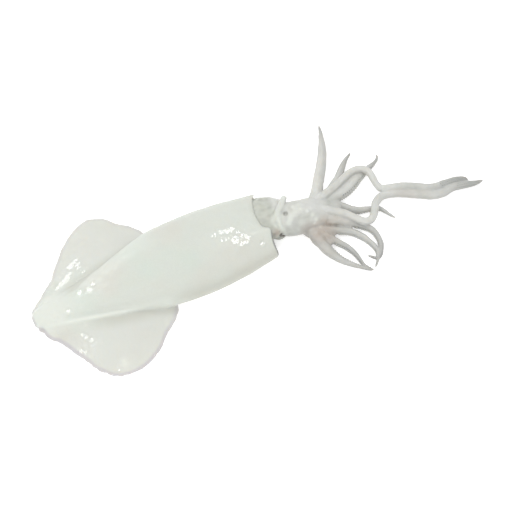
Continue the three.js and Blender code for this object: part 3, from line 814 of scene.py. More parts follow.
def fin_rings(outline, side, phase, settings):
    """Rings of one fin: ribs from inside the tube to the outline, thick at the root, waved."""
    edge_line = Route(outline)
    edge_thick = settings.fin_edge / MM
    wave = settings.wave / MM
    rings = []
    for r in range(FIN_RIBS + 1):
        share = r / FIN_RIBS
        edge, way = edge_line.at(share)
        outward = Vector((way.y, -way.x, 0)) * (-side)
        ragged = sum(
            strength * flat_noise(edge, scale, phase * pattern)
            for strength, scale, pattern in FIN_RAGGED)
        if side < 0:
            ragged += 0.5 * flat_noise(edge, 0.45, 9.0) * ease(60.0, 35.0, edge.x)
        edge = edge + outward * (ragged + FIN_OUT)
        root_x = FIN_ROOT[0] + (FIN_ROOT[1] - FIN_ROOT[0]) * share
        half, high = between(TUBE_STATIONS, root_x)
        root_high = 3.0 + (settings.fin_root / MM - 3.0) * (high / 31.5) ** 0.7
        if side < 0:
            root_high *= 1.25
        else:
            root_high += (0.85 * high - root_high) * ease(34.0, 16.0, root_x)
            half -= between(FAR_HOLLOW, root_x)[0]
        root = Vector((root_x, tube_centre(root_x) + side * half * 0.72, 0))
        shrink = min(1.0, 0.45 + root_x / 30.0)
        top, under = [], []
        for s in range(FIN_STEPS + 1):
            out = s / FIN_STEPS
            place = root.lerp(edge, out)
            drop = (1 - out) ** 1.6
            height = FIN_HEIGHT + (root_high - FIN_HEIGHT) * drop
            height += wave * math.sin(place.x / 9 + phase) * out ** 1.5
            height += 0.8 * out * flat_noise(place, 0.06, phase)
            height += 0.5 * out ** 3 * flat_noise(place, 0.16, phase + 4)
            thick = edge_thick + (FIN_ROOT_THICK - edge_thick) * (1 - out) ** 1.3
            thick *= 1 - 0.45 * ease(0.93, 1.0, out)
            height = max(height, FIN_LOWEST) * shrink
            top.append(place + Vector((0, 0, height)))
            under.append(place + Vector((0, 0, max(0.15, height - thick * shrink))))
        rings.append(top + under[::-1])
    return rings


def beside(way):
    """The directions across a limb and out of its top, where it runs along way."""
    across = way.cross(Vector((0, 0, 1))).normalized()
    return across, across.cross(way).normalized()


def limb_point(centre, way, half, roof, angle):
    """Where a limb's skin is at an angle round it. A roof draws the top up into a ridge."""
    across, rise = beside(way)
    lift = max(math.sin(angle), 0.0)
    point = centre + across * half * math.cos(angle) * (1 - roof * lift ** 1.5)
    return point + rise * half * (0.93 + 0.12 * roof * lift) * math.sin(angle)


def limb_rings(limb, slimmest=0.7, sides=20):
    """Rings of one arm or tentacle along its route, with its top drawn up into a ridge."""
    route = Route(limb["route"])
    halves = shares(limb["half"])
    steps = int(route.length / 1.1)
    rings = []
    for r in range(steps + 1):
        share = r / steps
        centre, way = route.at(share)
        half = max(between(halves, share)[0], slimmest)
        half *= 1 - 0.5 * ease(0.985, 1.0, share)
        ring = []
        for s in range(sides):
            point = limb_point(centre, way, half, limb["roof"], 2 * math.pi * s / sides)
            point.z = max(point.z, RINGS_LOWEST)
            ring.append(point)
        rings.append(ring)
    return rings


def fold_rings(points, halves, sides=14):
    """Rings of one fold of skin, flatter than it is wide."""
    route = Route(points)
    table = shares(halves)
    steps = int(route.length / 0.9)
    rings = []
    for r in range(steps + 1):
        share = r / steps
        centre, way = route.at(share)
        across, rise = beside(way)
        half = between(table, share)[0]
        rings.append([
            centre + across * half * math.cos(2 * math.pi * s / sides)
            + rise * half * 0.85 * math.sin(2 * math.pi * s / sides) for s in range(sides)])
    return rings


def station_rings(table, spacing=1.4, sides=56):
    """Rings through a table of stations along the body."""
    start, end = table[0][0], table[-1][0]
    steps = round((end - start) / spacing)
    rings = []
    for r in range(steps + 1):
        x = start + (end - start) * r / steps
        centre, half, low, high = between(table, x)
        rings.append(flesh_ring(x, centre, half, max(low, RINGS_LOWEST), high, sides))
    return rings


def samples_of(limb, spacing=0.8):
    """Places along a limb with its half width, greyness and pinkness there."""
    route = Route(limb["route"])
    tables = [shares(limb[key]) for key in ("half", "grey", "pink")]
    steps = int(route.length / spacing)
    found = []
    for r in range(steps + 1):
        share = r / steps
        found.append((route.at(share)[0], *(between(table, share)[0] for table in tables)))
    return found


def new_material(name):
    """An empty node material with its output and its shader."""
    material = bpy.data.materials.new(name)
    material.use_nodes = True
    tree = material.node_tree
    tree.nodes.clear()
    output = add_node(tree, "ShaderNodeOutputMaterial", 900, 0)
    shader = add_node(tree, "ShaderNodeBsdfPrincipled", 600, 0)
    tree.links.new(shader.outputs["BSDF"], output.inputs["Surface"])
    return material, tree, shader


def add_node(tree, kind, x, y, settings=None, **inputs):
    """A node at a place in a tree, with its settings and the values of its sockets."""
    made = tree.nodes.new(kind)
    made.location = (x, y)
    for key, value in (settings or {}).items():
        setattr(made, key, value)
    for key, value in inputs.items():
        made.inputs[key.replace("_", " ")].default_value = value
    return made


def new_group(name, inputs, outputs):
    """An empty shader node group with named sockets, and its two end nodes."""
    group = bpy.data.node_groups.new(name, "ShaderNodeTree")
    for label, kind, value in inputs:
        socket = group.interface.new_socket(name=label, in_out="INPUT", socket_type=kind)
        socket.default_value = value
    for label, kind in outputs:
        group.interface.new_socket(name=label, in_out="OUTPUT", socket_type=kind)
    start = add_node(group, "NodeGroupInput", -900, 0)
    end = add_node(group, "NodeGroupOutput", 900, 0)
    return group, start, end


def mottle_group():
    """Soft patches of two tints in a third colour, with a little fine speckle."""
    group, start, end = new_group(
        "Flesh mottle",
        [("Pale", "NodeSocketColor", (1, 1, 1, 1)), ("Cool", "NodeSocketColor", (1, 1, 1, 1)),
         ("Warm", "NodeSocketColor", (1, 1, 1, 1)), ("Scale", "NodeSocketFloat", 30.0)],
        [("Color", "NodeSocketColor")])
    links = group.links
    place = add_node(group, "ShaderNodeTexCoord", -900, -300)
    colour = start.outputs["Pale"]
    tints = (("Cool", 0.0, 0.44, 0.66), ("Warm", 3.7, 0.46, 0.68))
    for row, (tint, shift, low, high) in enumerate(tints):
        moved = add_node(group, "ShaderNodeMapping", -700, -300 * row, Location=(shift, shift, 0))
        links.new(place.outputs["Object"], moved.inputs["Vector"])
        cloud = add_node(group, "ShaderNodeTexNoise", -500, -300 * row, Detail=1.0, Roughness=0.5)
        links.new(moved.outputs["Vector"], cloud.inputs["Vector"])
        links.new(start.outputs["Scale"], cloud.inputs["Scale"])
        patch = add_node(
            group, "ShaderNodeMapRange", -300, -300 * row, {"interpolation_type": "SMOOTHSTEP"},
            From_Min=low, From_Max=high)
        links.new(cloud.outputs["Fac"], patch.inputs["Value"])
        mix = add_node(group, "ShaderNodeMix", -100 + 200 * row, 0, {"data_type": "RGBA"})
        links.new(patch.outputs["Result"], mix.inputs["Factor"])
        links.new(colour, mix.inputs[6])
        links.new(start.outputs[tint], mix.inputs[7])
        colour = mix.outputs[2]
    speckle = add_node(group, "ShaderNodeTexNoise", 100, -500, Scale=900.0, Detail=2.0)
    links.new(place.outputs["Object"], speckle.inputs["Vector"])
    shade = add_node(group, "ShaderNodeMapRange", 300, -500, To_Min=0.95, To_Max=1.04)
    links.new(speckle.outputs["Fac"], shade.inputs["Value"])
    product = add_node(
        group, "ShaderNodeMix", 600, 0, {"data_type": "RGBA", "blend_type": "MULTIPLY"}, Factor=1.0)
    links.new(colour, product.inputs[6])
    links.new(shade.outputs["Result"], product.inputs[7])
    links.new(product.outputs[2], end.inputs["Color"])
    return group


def wet_group():
    """Height of the fine unevenness of wet skin, and the roughness of its film of water."""
    group, start, end = new_group(
        "Wet skin",
        [("Broad", "NodeSocketFloat", 160.0), ("Fine", "NodeSocketFloat", 900.0),
         ("Fine share", "NodeSocketFloat", 0.25)],
        [("Height", "NodeSocketFloat"), ("Roughness", "NodeSocketFloat")])
    links = group.links
    place = add_node(group, "ShaderNodeTexCoord", -900, -300)
    broad = add_node(group, "ShaderNodeTexNoise", -500, 200, Detail=2.0, Roughness=0.45)
    fine = add_node(group, "ShaderNodeTexNoise", -500, -100, Detail=3.0, Roughness=0.55)
    film = add_node(group, "ShaderNodeTexNoise", -500, -400, Scale=70.0, Detail=3.0, Roughness=0.6)
    for cloud in (broad, fine, film):
        links.new(place.outputs["Object"], cloud.inputs["Vector"])
    links.new(start.outputs["Broad"], broad.inputs["Scale"])
    links.new(start.outputs["Fine"], fine.inputs["Scale"])
    scaled = add_node(group, "ShaderNodeMath", -200, -100, {"operation": "MULTIPLY"})
    links.new(fine.outputs["Fac"], scaled.inputs[0])
    links.new(start.outputs["Fine share"], scaled.inputs[1])
    total = add_node(group, "ShaderNodeMath", 100, 100, {"operation": "ADD"})
    links.new(broad.outputs["Fac"], total.inputs[0])
    links.new(scaled.outputs["Value"], total.inputs[1])
    links.new(total.outputs["Value"], end.inputs["Height"])
    rough = add_node(
        group, "ShaderNodeMapRange", 100, -400,
        From_Min=0.35, From_Max=0.65, To_Min=0.42, To_Max=0.58)
    links.new(film.outputs["Fac"], rough.inputs["Value"])
    links.new(rough.outputs["Result"], end.inputs["Roughness"])
    return group


def blend_by_layer(tree, colour, layer, target, x, y, strength=1.0):
    """Mixes a colour towards another by a painted layer of the mesh."""
    mask = add_node(tree, "ShaderNodeAttribute", x - 400, y, {"attribute_name": layer})
    amount = add_node(
        tree, "ShaderNodeMath", x - 200, y, {"operation": "MULTIPLY", "use_clamp": True})
    amount.inputs[1].default_value = strength
    mix = add_node(tree, "ShaderNodeMix", x, y, {"data_type": "RGBA"})
    tree.links.new(mask.outputs["Fac"], amount.inputs[0])
    tree.links.new(amount.outputs["Value"], mix.inputs["Factor"])
    tree.links.new(colour, mix.inputs[6])
    mix.inputs[7].default_value = (*target, 1)
    return mix.outputs[2]


def flesh_material(name, tints, layers, mottle_scale, bump, wet_scales):
    """Wet translucent flesh: mottled, painted by the mesh's layers, with a film of water."""
    flesh = bpy.context.scene.squid.flesh
    material, tree, shader = new_material(name)
    groups = bpy.data.node_groups
    mottle = add_node(
        tree, "ShaderNodeGroup", -900, 200,
        {"node_tree": groups.get("Flesh mottle") or mottle_group()})
    for label, tint in zip(("Pale", "Cool", "Warm"), tints):
        mottle.inputs[label].default_value = (*tint, 1)
    mottle.inputs["Scale"].default_value = mottle_scale
    colour = mottle.outputs["Color"]
    for i, (layer, target, strength) in enumerate(layers):
        colour = blend_by_layer(
            tree, colour, layer, target, -300 + 220 * i, 300 - 160 * i, strength)
    tree.links.new(colour, shader.inputs["Base Color"])
    wet = add_node(
        tree, "ShaderNodeGroup", -300, -400, {"node_tree": groups.get("Wet skin") or wet_group()})
    for label, value in zip(("Broad", "Fine", "Fine share"), wet_scales):
        wet.inputs[label].default_value = value
    lift = add_node(tree, "ShaderNodeBump", 300, -400, Strength=1.0, Distance=bump)
    tree.links.new(wet.outputs["Height"], lift.inputs["Height"])
    tree.links.new(lift.outputs["Normal"], shader.inputs["Normal"])
    tree.links.new(wet.outputs["Roughness"], shader.inputs["Roughness"])
    shader.inputs["IOR"].default_value = 1.34
    shader.inputs["Subsurface Weight"].default_value = 0.35
    shader.inputs["Subsurface Radius"].default_value = (1.0, 0.85, 0.65)
    shader.inputs["Subsurface Scale"].default_value = flesh.depth
    film = add_node(tree, "ShaderNodeAttribute", 100, -700, {"attribute_name": "wet"})
    amount = add_node(tree, "ShaderNodeMapRange", 300, -700, To_Min=flesh.damp, To_Max=flesh.coat)
    tree.links.new(film.outputs["Fac"], amount.inputs["Value"])
    tree.links.new(amount.outputs["Result"], shader.inputs["Coat Weight"])
    shader.inputs["Coat Roughness"].default_value = 0.07
    shader.inputs["Coat IOR"].default_value = 1.33
    return material


def tube_pale_and_painted_light(co, normal, off_ridge, behind, sheen_spots):
    """How much paler skin and painted light the tube gets at a place, 0 to 1: a paler tail, a
    painted highlight on the ridge's top, painted light on the flank above the ridge, on top near
    the mouth and on the rim's cut face, and painted sheen on the far flank and at the sheen spots.

    off_ridge is the distance from the near fin's ridge, behind the distance from the rim.
    """
    # Painted highlight on the ridge's top, and painted light on the flank above the ridge against
    # the fin's shade.
    ridge_highlight = ease(2.8, 1.2, off_ridge) * ease(-0.1, 0.4, normal.z)
    above = (
        0.6 * (1 - ease(2.0, 12.0, off_ridge)) * ease(112.0, 100.0, co.x)
        * ease(0.8, 0.5, normal.z))
    # The tail's skin is paler.
    tail = 0.75 * ease(60.0, 10.0, co.x) * ease(24.0, 10.0, abs(co.y))
    # Painted sheen on the far flank, and painted light on top-facing skin near the mouth.
    far_flank_sheen = 0.45 * ease(0.05, 0.3, normal.y) * ease(7.0, 12.0, co.z) * ease(125.0, 85.0, co.x)
    mouth = 0.16 * ease(135.0, 165.0, co.x) * ease(0.55, 0.85, normal.z)
    # Painted sheen and highlights at the sheen spots.
    pale = 0.7 * max(within(co, spot, radius, 0.3) for spot, radius in sheen_spots)
    pale *= ease(-0.35, 0.15, noise.noise(co * 0.3))
    # Painted light on the rim's cut face beside the neck.
    rim_face_light = ease(3.0, 1.0, behind) * ease(0.25, 0.6, normal.x) if co.y > -8 else 0.0
    return max(ridge_highlight, above, tail, far_flank_sheen, mouth, pale, rim_face_light)


def tube_edges_and_outline_shade(co, normal, inward):
    """How lilac grey the skin is at a place, 0 to 1: lilac thin fin edges and tail's tip, partly
    painted shade along the fins' outlines, and painted shade along the tube's far outline.

    inward is the distance from the fins' outlines, seen from above.
    """
    # Lilac thin fin edges, partly painted shade along their outlines.
    fin_edge = ease(2.7, 1.3, inward) if co.z < 5.5 and co.x < 112 else 0.0
    fin_edge *= 0.45 if co.y > 0 else 1 - 0.3 * ease(88.0, 100.0, co.x)
    # Painted shade along the tube's far outline.
    outline = 0.95 * ease(0.66, 0.48, normal.z) * ease(0.5, 0.7, normal.y) * ease(8.0, 12.0, co.z)
    tip = 0.7 * ease(2.6, 1.0, co.x) * ease(11.0, 8.0, abs(co.y))
    return max(fin_edge, outline, tip)


def tube_olive_shade(co, normal, off_ridge, behind):
    """How much painted shade the tube gets at a place, 0 to 1: in the valley beside the far fin, on
    the near fin below the ridge, low on the near flank towards the mouth, and on the rim's upper
    part.
    """
    # Painted shade in the valley beside the far fin.
    if co.y > 5 and co.z < 18 and 24 < co.x < 112:
        half, hollow = between(TUBE_STATIONS, co.x)[0], between(FAR_HOLLOW, co.x)[0]
        beyond = co.y - tube_centre(co.x) - half + hollow
        olive_shade = 0.8 * ease(9.0, -1.0, beyond) * ease(24.0, 40.0, co.x) * ease(112.0, 104.0, co.x)
    # Painted shade on the near fin below the ridge.
    elif co.z < 13 and co.y < 0 and normal.z > 0.4 and off_ridge > 1.5:
        olive_shade = ease(14.0, 3.0, off_ridge) * ease(1.5, 3.0, off_ridge) * ease(30.0, 60.0, co.x)
    # Painted shade low on the near flank towards the mouth.
    else:
        olive_shade = (
            0.85 * ease(0.9, 0.4, normal.z) * ease(100.0, 125.0, co.x)
            * ease(0.0, 0.2, -normal.y))
    # Painted shade on the rim's upper part.
    if co.y > -8:
        olive_shade = max(olive_shade, 0.5 * ease(4.0, 1.0, behind) * ease(14.0, 17.0, co.z))
    return olive_shade


class SQUID_OT_tube(bpy.types.Operator):
    """Builds the mantle tube with its two fins, its ridge and its hollow mouth."""

    bl_idname = "squid.build_tube"
    bl_label = "Build mantle and fins"

    def execute(self, context):
        settings = context.scene.squid.tube
        bm = bmesh.new()
        skin(bm, tube_rings(settings.wall / MM))
        skin(bm, fin_rings(FAR_FIN, 1, 0.6, settings))
        skin(bm, fin_rings(NEAR_FIN, -1, 2.1, settings))
        skin(bm, fold_rings(NEAR_RIDGE, [0.9, 1.5, 1.9, 1.9, 1.5, 0.9]))
        body, shape = fuse(bm, "Squid_mantle", settings.grain, 4)
        relief = settings.relief / MM

        def height(co, normal):
            soft = noise.noise(co * 0.045) * 1.3 + noise.noise(co * DENTS) * 0.6
            return relief * soft - 0.12 * relief - 0.05

        press(shape, height)
        spots = settle(shape, TUBE_WET)
        press(shape, lambda co, normal: water(co, normal, spots))
        layers = self.paint(shape, spots)
        # Painted shade in nooks and creases, weaker on the far side.
        far_side = np.array([0.8 if vert.co.y > 0 else 1.0 for vert in shape.verts])
        layers["nook_shade"] = np.clip(nooks(shape, 6.0) * 1.7 - 0.5, 0, 1) * far_side
        flesh = context.scene.squid.flesh
        # The fin tint and the wet film are the flesh's own; the other layers add paler skin with
        # painted light and sheen, painted shade beside the fins, in nooks and on the rim's cut
        # face, and lilac thin edges with painted shade along the outlines.
        material = flesh_material(
            "Mantle flesh", (flesh.pale, flesh.cool, flesh.warm),
            [("fin", flesh.fin, 0.85), ("bright", flesh.bright, 1.0), ("olive_shade", flesh.olive_shade, 0.9),
             ("nook_shade", flesh.shade, 0.2), ("edge", flesh.edge, 1.0), ("cut", flesh.grey, 0.9)],
            24.0, 0.0004, (150.0, 800.0, 0.2))
        finish_piece(body, shape, layers, material, "mantle")
        return {"FINISHED"}

    def paint(self, shape, spots):
        """Paler skin with painted light and sheen, lilac edges with painted outline shade, painted
        shade beside the fins, at the rim and on the near part of the rim's cut face, wet skin, and
        the fins.
        """
        ridge = route_tree([Route(NEAR_RIDGE)])
        edges = route_tree([Route(FAR_FIN), Route(NEAR_FIN)])
        sheen_spots = spots_of(PAINTED_SHEEN)
        bright, edge, cut, wet, olive_shade, fin = (np.zeros(len(shape.verts)) for _ in range(6))
        for k, vert in enumerate(shape.verts):
            co, normal = vert.co, vert.normal
            off_ridge = ridge.find(co)[2]
            inward = edges.find(Vector((co.x, co.y, 0)))[2]
            behind = TUBE_LENGTH + between(RIM_STATIONS, co.y)[0] - co.x
            bright[k] = tube_pale_and_painted_light(co, normal, off_ridge, behind, sheen_spots)
            edge[k] = tube_edges_and_outline_shade(co, normal, inward)
            olive_shade[k] = tube_olive_shade(co, normal, off_ridge, behind)
            fin[k] = ease(18.0, 34.0, abs(co.y)) * ease(14.0, 10.0, co.z)
            wet[k] = wetness(co, spots, TUBE_DAMP)
            # Painted shade on the near part of the rim's cut face.
            shows = ease(8.0, 15.0, -co.y) * ease(0.25, 0.5, normal.x)
            cut[k] = ease(3.2, 2.2, behind) * shows
        return {
            "bright": even(shape, bright, 3), "edge": even(shape, edge, 1), "cut": cut, "wet": wet,
            "olive_shade": even(shape, olive_shade, 3), "fin": fin}


class SQUID_OT_head(bpy.types.Operator):
    """Builds the neck, folds, head, web, arms and tentacles as one skin."""

    bl_idname = "squid.build_head"
    bl_label = "Build head and arms"

    def execute(self, context):
        settings = context.scene.squid.head
        bm = bmesh.new()
        skin(bm, station_rings(NECK_STATIONS))
        skin(bm, station_rings(HEAD_STATIONS))
        for points, halves in FOLDS:
            skin(bm, fold_rings(points, halves))
        for limb in LIMBS.values():
            skin(bm, limb_rings(limb))
        for centre, size, turn in WEBS:
            web = bmesh.ops.create_uvsphere(bm, u_segments=40, v_segments=24, radius=1.0)["verts"]
            bmesh.ops.scale(bm, vec=size, verts=web)
            bmesh.ops.rotate(bm, cent=(0, 0, 0), matrix=Matrix.Rotation(turn, 3, "Z"), verts=web)
            bmesh.ops.translate(bm, vec=centre, verts=web)
        body, shape = fuse(bm, "Squid_head_arms", settings.grain, 3)
        relief = settings.relief / MM
        pits = spots_of(PITS)

        def height(co, normal):
            soft = noise.noise(co * 0.16) * 0.9 + noise.noise(co * 0.45) * 0.5
            low = sum(
                depth * (1 - ease(0.0, radius, (co - spot).length)) for spot, radius, depth in pits)
            return relief * soft - 0.1 - low

        press(shape, height)
        spots = settle(shape, HEAD_WET)
        press(shape, lambda co, normal: water(co, normal, spots))
        layers = self.paint(shape, spots)
        # Painted shade in nooks, kept faint on the neck just behind the rim.
        behind_rim = np.array([1 - 0.8 * ease(210.0, 204.0, vert.co.x) * ease(12.0, 15.0, vert.co.z)
                               for vert in shape.verts])
        layers["nook_shade"] = np.clip(nooks(shape, 7.0) * 1.7 - 0.4, 0, 1) * behind_rim
        flesh = context.scene.squid.flesh
        # Green and pink are the skin's own, the pink also brown by the crevice where it stands in
        # for shade; grey is the skin's greyness with painted shade on sides and undersides; the
        # pale colour is paler folds with painted light and highlights; the last two are painted
        # shade in nooks and pits.
        material = flesh_material(
            "Head and arm flesh", (flesh.limb, flesh.limb_cool, flesh.limb_warm),
            [("green", flesh.green, 1.0), ("pink", flesh.pink, 1.0), ("grey", flesh.grey, 1.0),
             ("bright", flesh.bright, 0.8), ("nook_shade", flesh.shade, 0.45), ("pit_shade", flesh.pit_shade, 1.0)],
            50.0, 0.0004, (330.0, 1300.0, 0.3))
        finish_piece(body, shape, layers, material, "head_arms")
        return {"FINISHED"}

    def paint(self, shape, spots):
        """Grey, pink, green and wet skin, with painted shade on sides, undersides, shade spots and
        in the pits, and paler skin with painted light on folds, glints and at the rim, by the part
        that a point lies on.
        """
        samples = [sample for limb in LIMBS.values() for sample in samples_of(limb)]
        tree = tree_of([sample[0] for sample in samples])
        folds = route_tree([Route(points) for points, _ in FOLDS])
        grey, pink, pit_shade, bright, green, wet = (np.zeros(len(shape.verts)) for _ in range(6))
        web, brown_shade_place = Vector(WEBS[0][0]), Vector(BROWN_SHADE[0])
        glint_spots, shade_spots, pits = spots_of(PAINTED_GLINTS), spots_of(SHADE_SPOTS), spots_of(PITS)
        for k, vert in enumerate(shape.verts):
            co, upward = vert.co, vert.normal.z
            _, i, far = min(tree.find_n(co, 5), key=lambda found: found[2] - samples[found[1]][1])
            _, half, own_grey, own_pink = samples[i]
            belongs = 1 - ease(half * 1.3, half * 2.4, far)
            side = 1 - ease(0.0, 0.9, upward)
            neck = 1 - ease(207.0, 214.0, co.x)
            streak, vein = noise.noise(co * STREAKS), noise.noise(co * VEINS)
            patch = noise.noise(co * 0.28)
            # The skin's own greyness from patches, neck streaks and veins, with painted shade added
            # on sides and undersides.
            flesh = 0.06 + 0.2 * patch + neck * 0.32 * streak + 0.12 * vein + 0.1 * side
            flesh += 0.15 * ease(0.4, 0.0, upward)
            # Painted shade at the shade spots.
            flesh += sum(
                strength * within(co, spot, radius, 0.3) for spot, radius, strength in shade_spots)
            # Limb greyness, with painted shade added on the sides.
            limb = 0.01 + own_grey * (0.75 + 0.4 * side) + 0.19 * side + 0.1 * patch
            grey[k] = flesh + (limb - flesh) * belongs
            green[k] = max(neck, 0.3 * (1 - belongs)) * (0.75 + 0.5 * patch)
            on_web = 1 - ease(9.0, 18.0, (co - web).length)
            # Brownish skin left of the crevice that also stands in for its shade.
            brown_shade = 0.9 * within(co, brown_shade_place, BROWN_SHADE[1], 0.4)
            pink[k] = max(own_pink * belongs, 0.85 * on_web, brown_shade) * (0.85 + 0.5 * streak)
            # Painted shade in the pits.
            pit_shade[k] = max(
                1 - ease(radius * 0.5, radius * 1.05, (co - spot).length)
                for spot, radius, _ in pits)
            # Paler skin and painted light on the upward-facing tops of the folds.
            on_fold = ease(3.4, 1.8, folds.find(co)[2])
            on_fold *= 1 - 0.5 * ease(217.0, 222.0, co.x) * ease(8.0, 4.0, co.y)
            on_fold *= 0.95 * ease(0.0, 0.7, upward) * (1 - 0.75 * brown_shade)
            # Painted highlights at the glint spots.
            glint = max(within(co, spot, radius, 0.35) for spot, radius in glint_spots)
            # Painted light on the neck just behind the rim.
            rim_light = 0.12 * ease(202.5, 199.0, co.x) * ease(12.0, 15.0, co.z)
            bright[k] = max(on_fold, 0.8 * glint, rim_light)
            wet[k] = 0.3 * wetness(co, spots)
        return {
            "grey": np.clip(even(shape, grey, 3), 0, 1),
            "pink": np.clip(even(shape, pink, 5), 0, 1),
            "pit_shade": pit_shade, "bright": even(shape, bright, 2),
            "green": np.clip(even(shape, green, 5), 0, 1), "wet": wet}


class SQUID_OT_suckers(bpy.types.Operator):
    """Sets the rows of suckers on the arms and on the ends of the tentacles."""

    bl_idname = "squid.set_suckers"
    bl_label = "Set suckers"

    # A sucker's outline from its foot to its hollow: distance from its axis and height, in radii.
    PROFILE = [(0.75, -0.5), (1.0, 0.1), (0.92, 0.42), (0.6, 0.4), (0.34, 0.05)]

    # Largest radius as a share of the limb's half width, and degrees from row to row.
    ON_ARM, ON_CLUB = (0.34, 38), (0.24, 30)

    # Distance from one sucker to the next, in radii, and share of the limb's length where they end.
    SPACING = 2.5
    LAST = 0.975

    def execute(self, context):
        settings = context.scene.squid.suckers
        draw = random.Random(11)
        one = bmesh.new()
        turns = [2 * math.pi * s / settings.sides for s in range(settings.sides)]
        skin(one, [[Vector((reach * math.cos(t), reach * math.sin(t), high)) for t in turns]
                   for reach, high in self.PROFILE])
        bmesh.ops.recalc_face_normals(one, faces=one.faces)
        cup = bpy.data.meshes.new("Sucker")
        one.to_mesh(cup)
        one.free()
        bm = bmesh.new()
        for name, (angle, rows, start) in ORAL_SIDES.items():
            limb = LIMBS[name]
            route = Route(limb["route"])
            halves = shares(limb["half"])
            widest = (settings.club_radius if rows > 2 else settings.arm_radius) / MM
            fullness, apart = self.ON_ARM if rows == 2 else self.ON_CLUB
            share = start
            while share < self.LAST:
                half = between(halves, share)[0]
                radius = min(widest, half * fullness)
                for row in range(rows):
                    turn = math.radians(angle + (row - (rows - 1) / 2) * apart)
                    lag = 0.5 * (row % 2) * radius * self.SPACING / route.length
                    size = radius * draw.uniform(0.85, 1.1)
                    seat = self.seat(route, limb["roof"], half, share + lag, turn, size)
                    if seat.translation.z > radius * 0.4:
                        cup.transform(seat)
                        bm.from_mesh(cup)
                        cup.transform(seat.inverted())
                share += radius * self.SPACING / route.length
        bpy.data.meshes.remove(cup)
        for vert in bm.verts:
            vert.co.z = max(vert.co.z, 0.03)
        depth = len(self.PROFILE)
        bm.verts.index_update()
        rings = [(vert.index // settings.sides) % depth for vert in bm.verts]
        hollow = [1.0 if ring >= depth - 2 else 0.0 for ring in rings]
        mesh = bpy.data.meshes.new("Squid_suckers")
        body = bpy.data.objects.new("Squid_suckers", mesh)
        context.scene.collection.objects.link(body)
        flesh = context.scene.squid.flesh
        material = flesh_material(
            "Sucker flesh", (flesh.limb, flesh.limb_cool, flesh.limb_warm),
            [("cup", flesh.grey, 0.7)], 200.0, 0.0001, (600.0, 1500.0, 0.3))
        finish_piece(body, bm, {"cup": hollow}, material, None)
        return {"FINISHED"}

    def seat(self, route, roof, half, share, turn, radius):
        """Where one cup stands on a limb's skin, its way out of it and its size, as a matrix."""
        centre, way = route.at(share)
        arm = limb_point(Vector(), way, half, roof, turn)
        out = arm.normalized()
        side = out.cross(way).normalized()
        seat = Matrix((way, side, out)).transposed().to_4x4() @ Matrix.Scale(radius, 4)
        seat.translation = centre + arm
        return seat


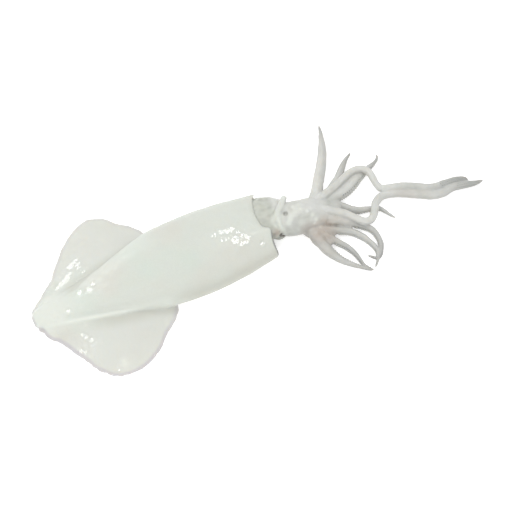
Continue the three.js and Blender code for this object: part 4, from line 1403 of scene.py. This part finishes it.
class SQUID_OT_stage(bpy.types.Operator):
    """Sets the floor, the lights and the camera."""

    bl_idname = "squid.set_stage"
    bl_label = "Set the stage"

    def execute(self, context):
        settings = context.scene.squid.stage
        scene = context.scene
        bm = bmesh.new()
        bmesh.ops.create_grid(bm, x_segments=2, y_segments=2, size=4.0)
        mesh = bpy.data.meshes.new("Floor")
        bm.to_mesh(mesh)
        bm.free()
        floor = bpy.data.objects.new("Floor", mesh)
        scene.collection.objects.link(floor)
        material, tree, shader = new_material("Pale floor")
        shader.inputs["Base Color"].default_value = (*settings.floor, 1)
        shader.inputs["Roughness"].default_value = 0.9
        shader.inputs["Specular IOR Level"].default_value = 0.0
        shader.inputs["Emission Color"].default_value = (1, 1, 1, 1)
        shader.inputs["Emission Strength"].default_value = settings.glow
        mesh.materials.append(material)

        world = bpy.data.worlds.new("Studio")
        scene.world = world
        world.use_nodes = True
        background = world.node_tree.nodes["Background"]
        background.inputs["Color"].default_value = (1, 1, 1, 1)
        background.inputs["Strength"].default_value = settings.ambient
        for softbox in SOFTBOXES:
            self.softbox(*softbox)
        self.aim_camera(scene, settings)
        scene.view_settings.view_transform = "Standard"
        return {"FINISHED"}

    def softbox(self, name, azimuth, elevation, distance, size, power):
        """A square light that faces the squid."""
        turn = bpy.context.scene.squid.stage.turn
        around = turn + math.radians(azimuth)
        up = math.radians(elevation)
        way = Vector(
            (math.sin(around) * math.cos(up), math.cos(around) * math.cos(up), math.sin(up)))
        light = bpy.data.lights.new(name, "AREA")
        light.shape = "SQUARE"
        light.size = size
        light.energy = power
        holder = bpy.data.objects.new(name, light)
        holder.location = way * distance
        holder.rotation_euler = way.to_track_quat("Z", "Y").to_euler()
        bpy.context.scene.collection.objects.link(holder)

    def aim_camera(self, scene, settings):
        """The camera at the photo's angle, aimed at the middle of the body."""
        lens = bpy.data.cameras.new("Camera")
        lens.lens = settings.lens
        lens.sensor_width = 36.0
        camera = bpy.data.objects.new("Camera", lens)
        scene.collection.objects.link(camera)
        across = Vector((math.sin(settings.turn), math.cos(settings.turn), 0))
        look = across * math.cos(settings.elevation) - Vector((0, 0, math.sin(settings.elevation)))
        aim = TO_FRAME @ Vector(AIM)
        camera.location = aim - look * settings.distance
        camera.rotation_euler = look.to_track_quat("-Z", "Y").to_euler()
        scene.camera = camera


class SQUID_PT_panel(bpy.types.Panel):
    """Lists the steps that build the squid."""

    bl_label = "Cleaned squid"
    bl_idname = "SQUID_PT_panel"
    bl_space_type = "VIEW_3D"
    bl_region_type = "UI"
    bl_category = "Squid"

    def draw(self, context):
        for operator in STEPS:
            self.layout.operator(operator.bl_idname)


STEPS = (SQUID_OT_tube, SQUID_OT_head, SQUID_OT_suckers, SQUID_OT_stage)
SETTINGS = (TubeSettings, HeadSettings, FleshSettings, SuckerSettings, StageSettings, SquidSettings)
CLASSES = (*SETTINGS, *STEPS, SQUID_PT_panel)


def register():
    """Adds the classes and the scene's settings."""
    for item in CLASSES:
        bpy.utils.register_class(item)
    bpy.types.Scene.squid = PointerProperty(type=SquidSettings)


def unregister():
    """Takes the settings and the classes away again."""
    del bpy.types.Scene.squid
    for item in reversed(CLASSES):
        bpy.utils.unregister_class(item)


def main():
    """Builds the squid and its stage."""
    register()
    bpy.ops.squid.build_tube()
    bpy.ops.squid.build_head()
    bpy.ops.squid.set_suckers()
    bpy.ops.squid.set_stage()


if __name__ == "__main__":
    main()
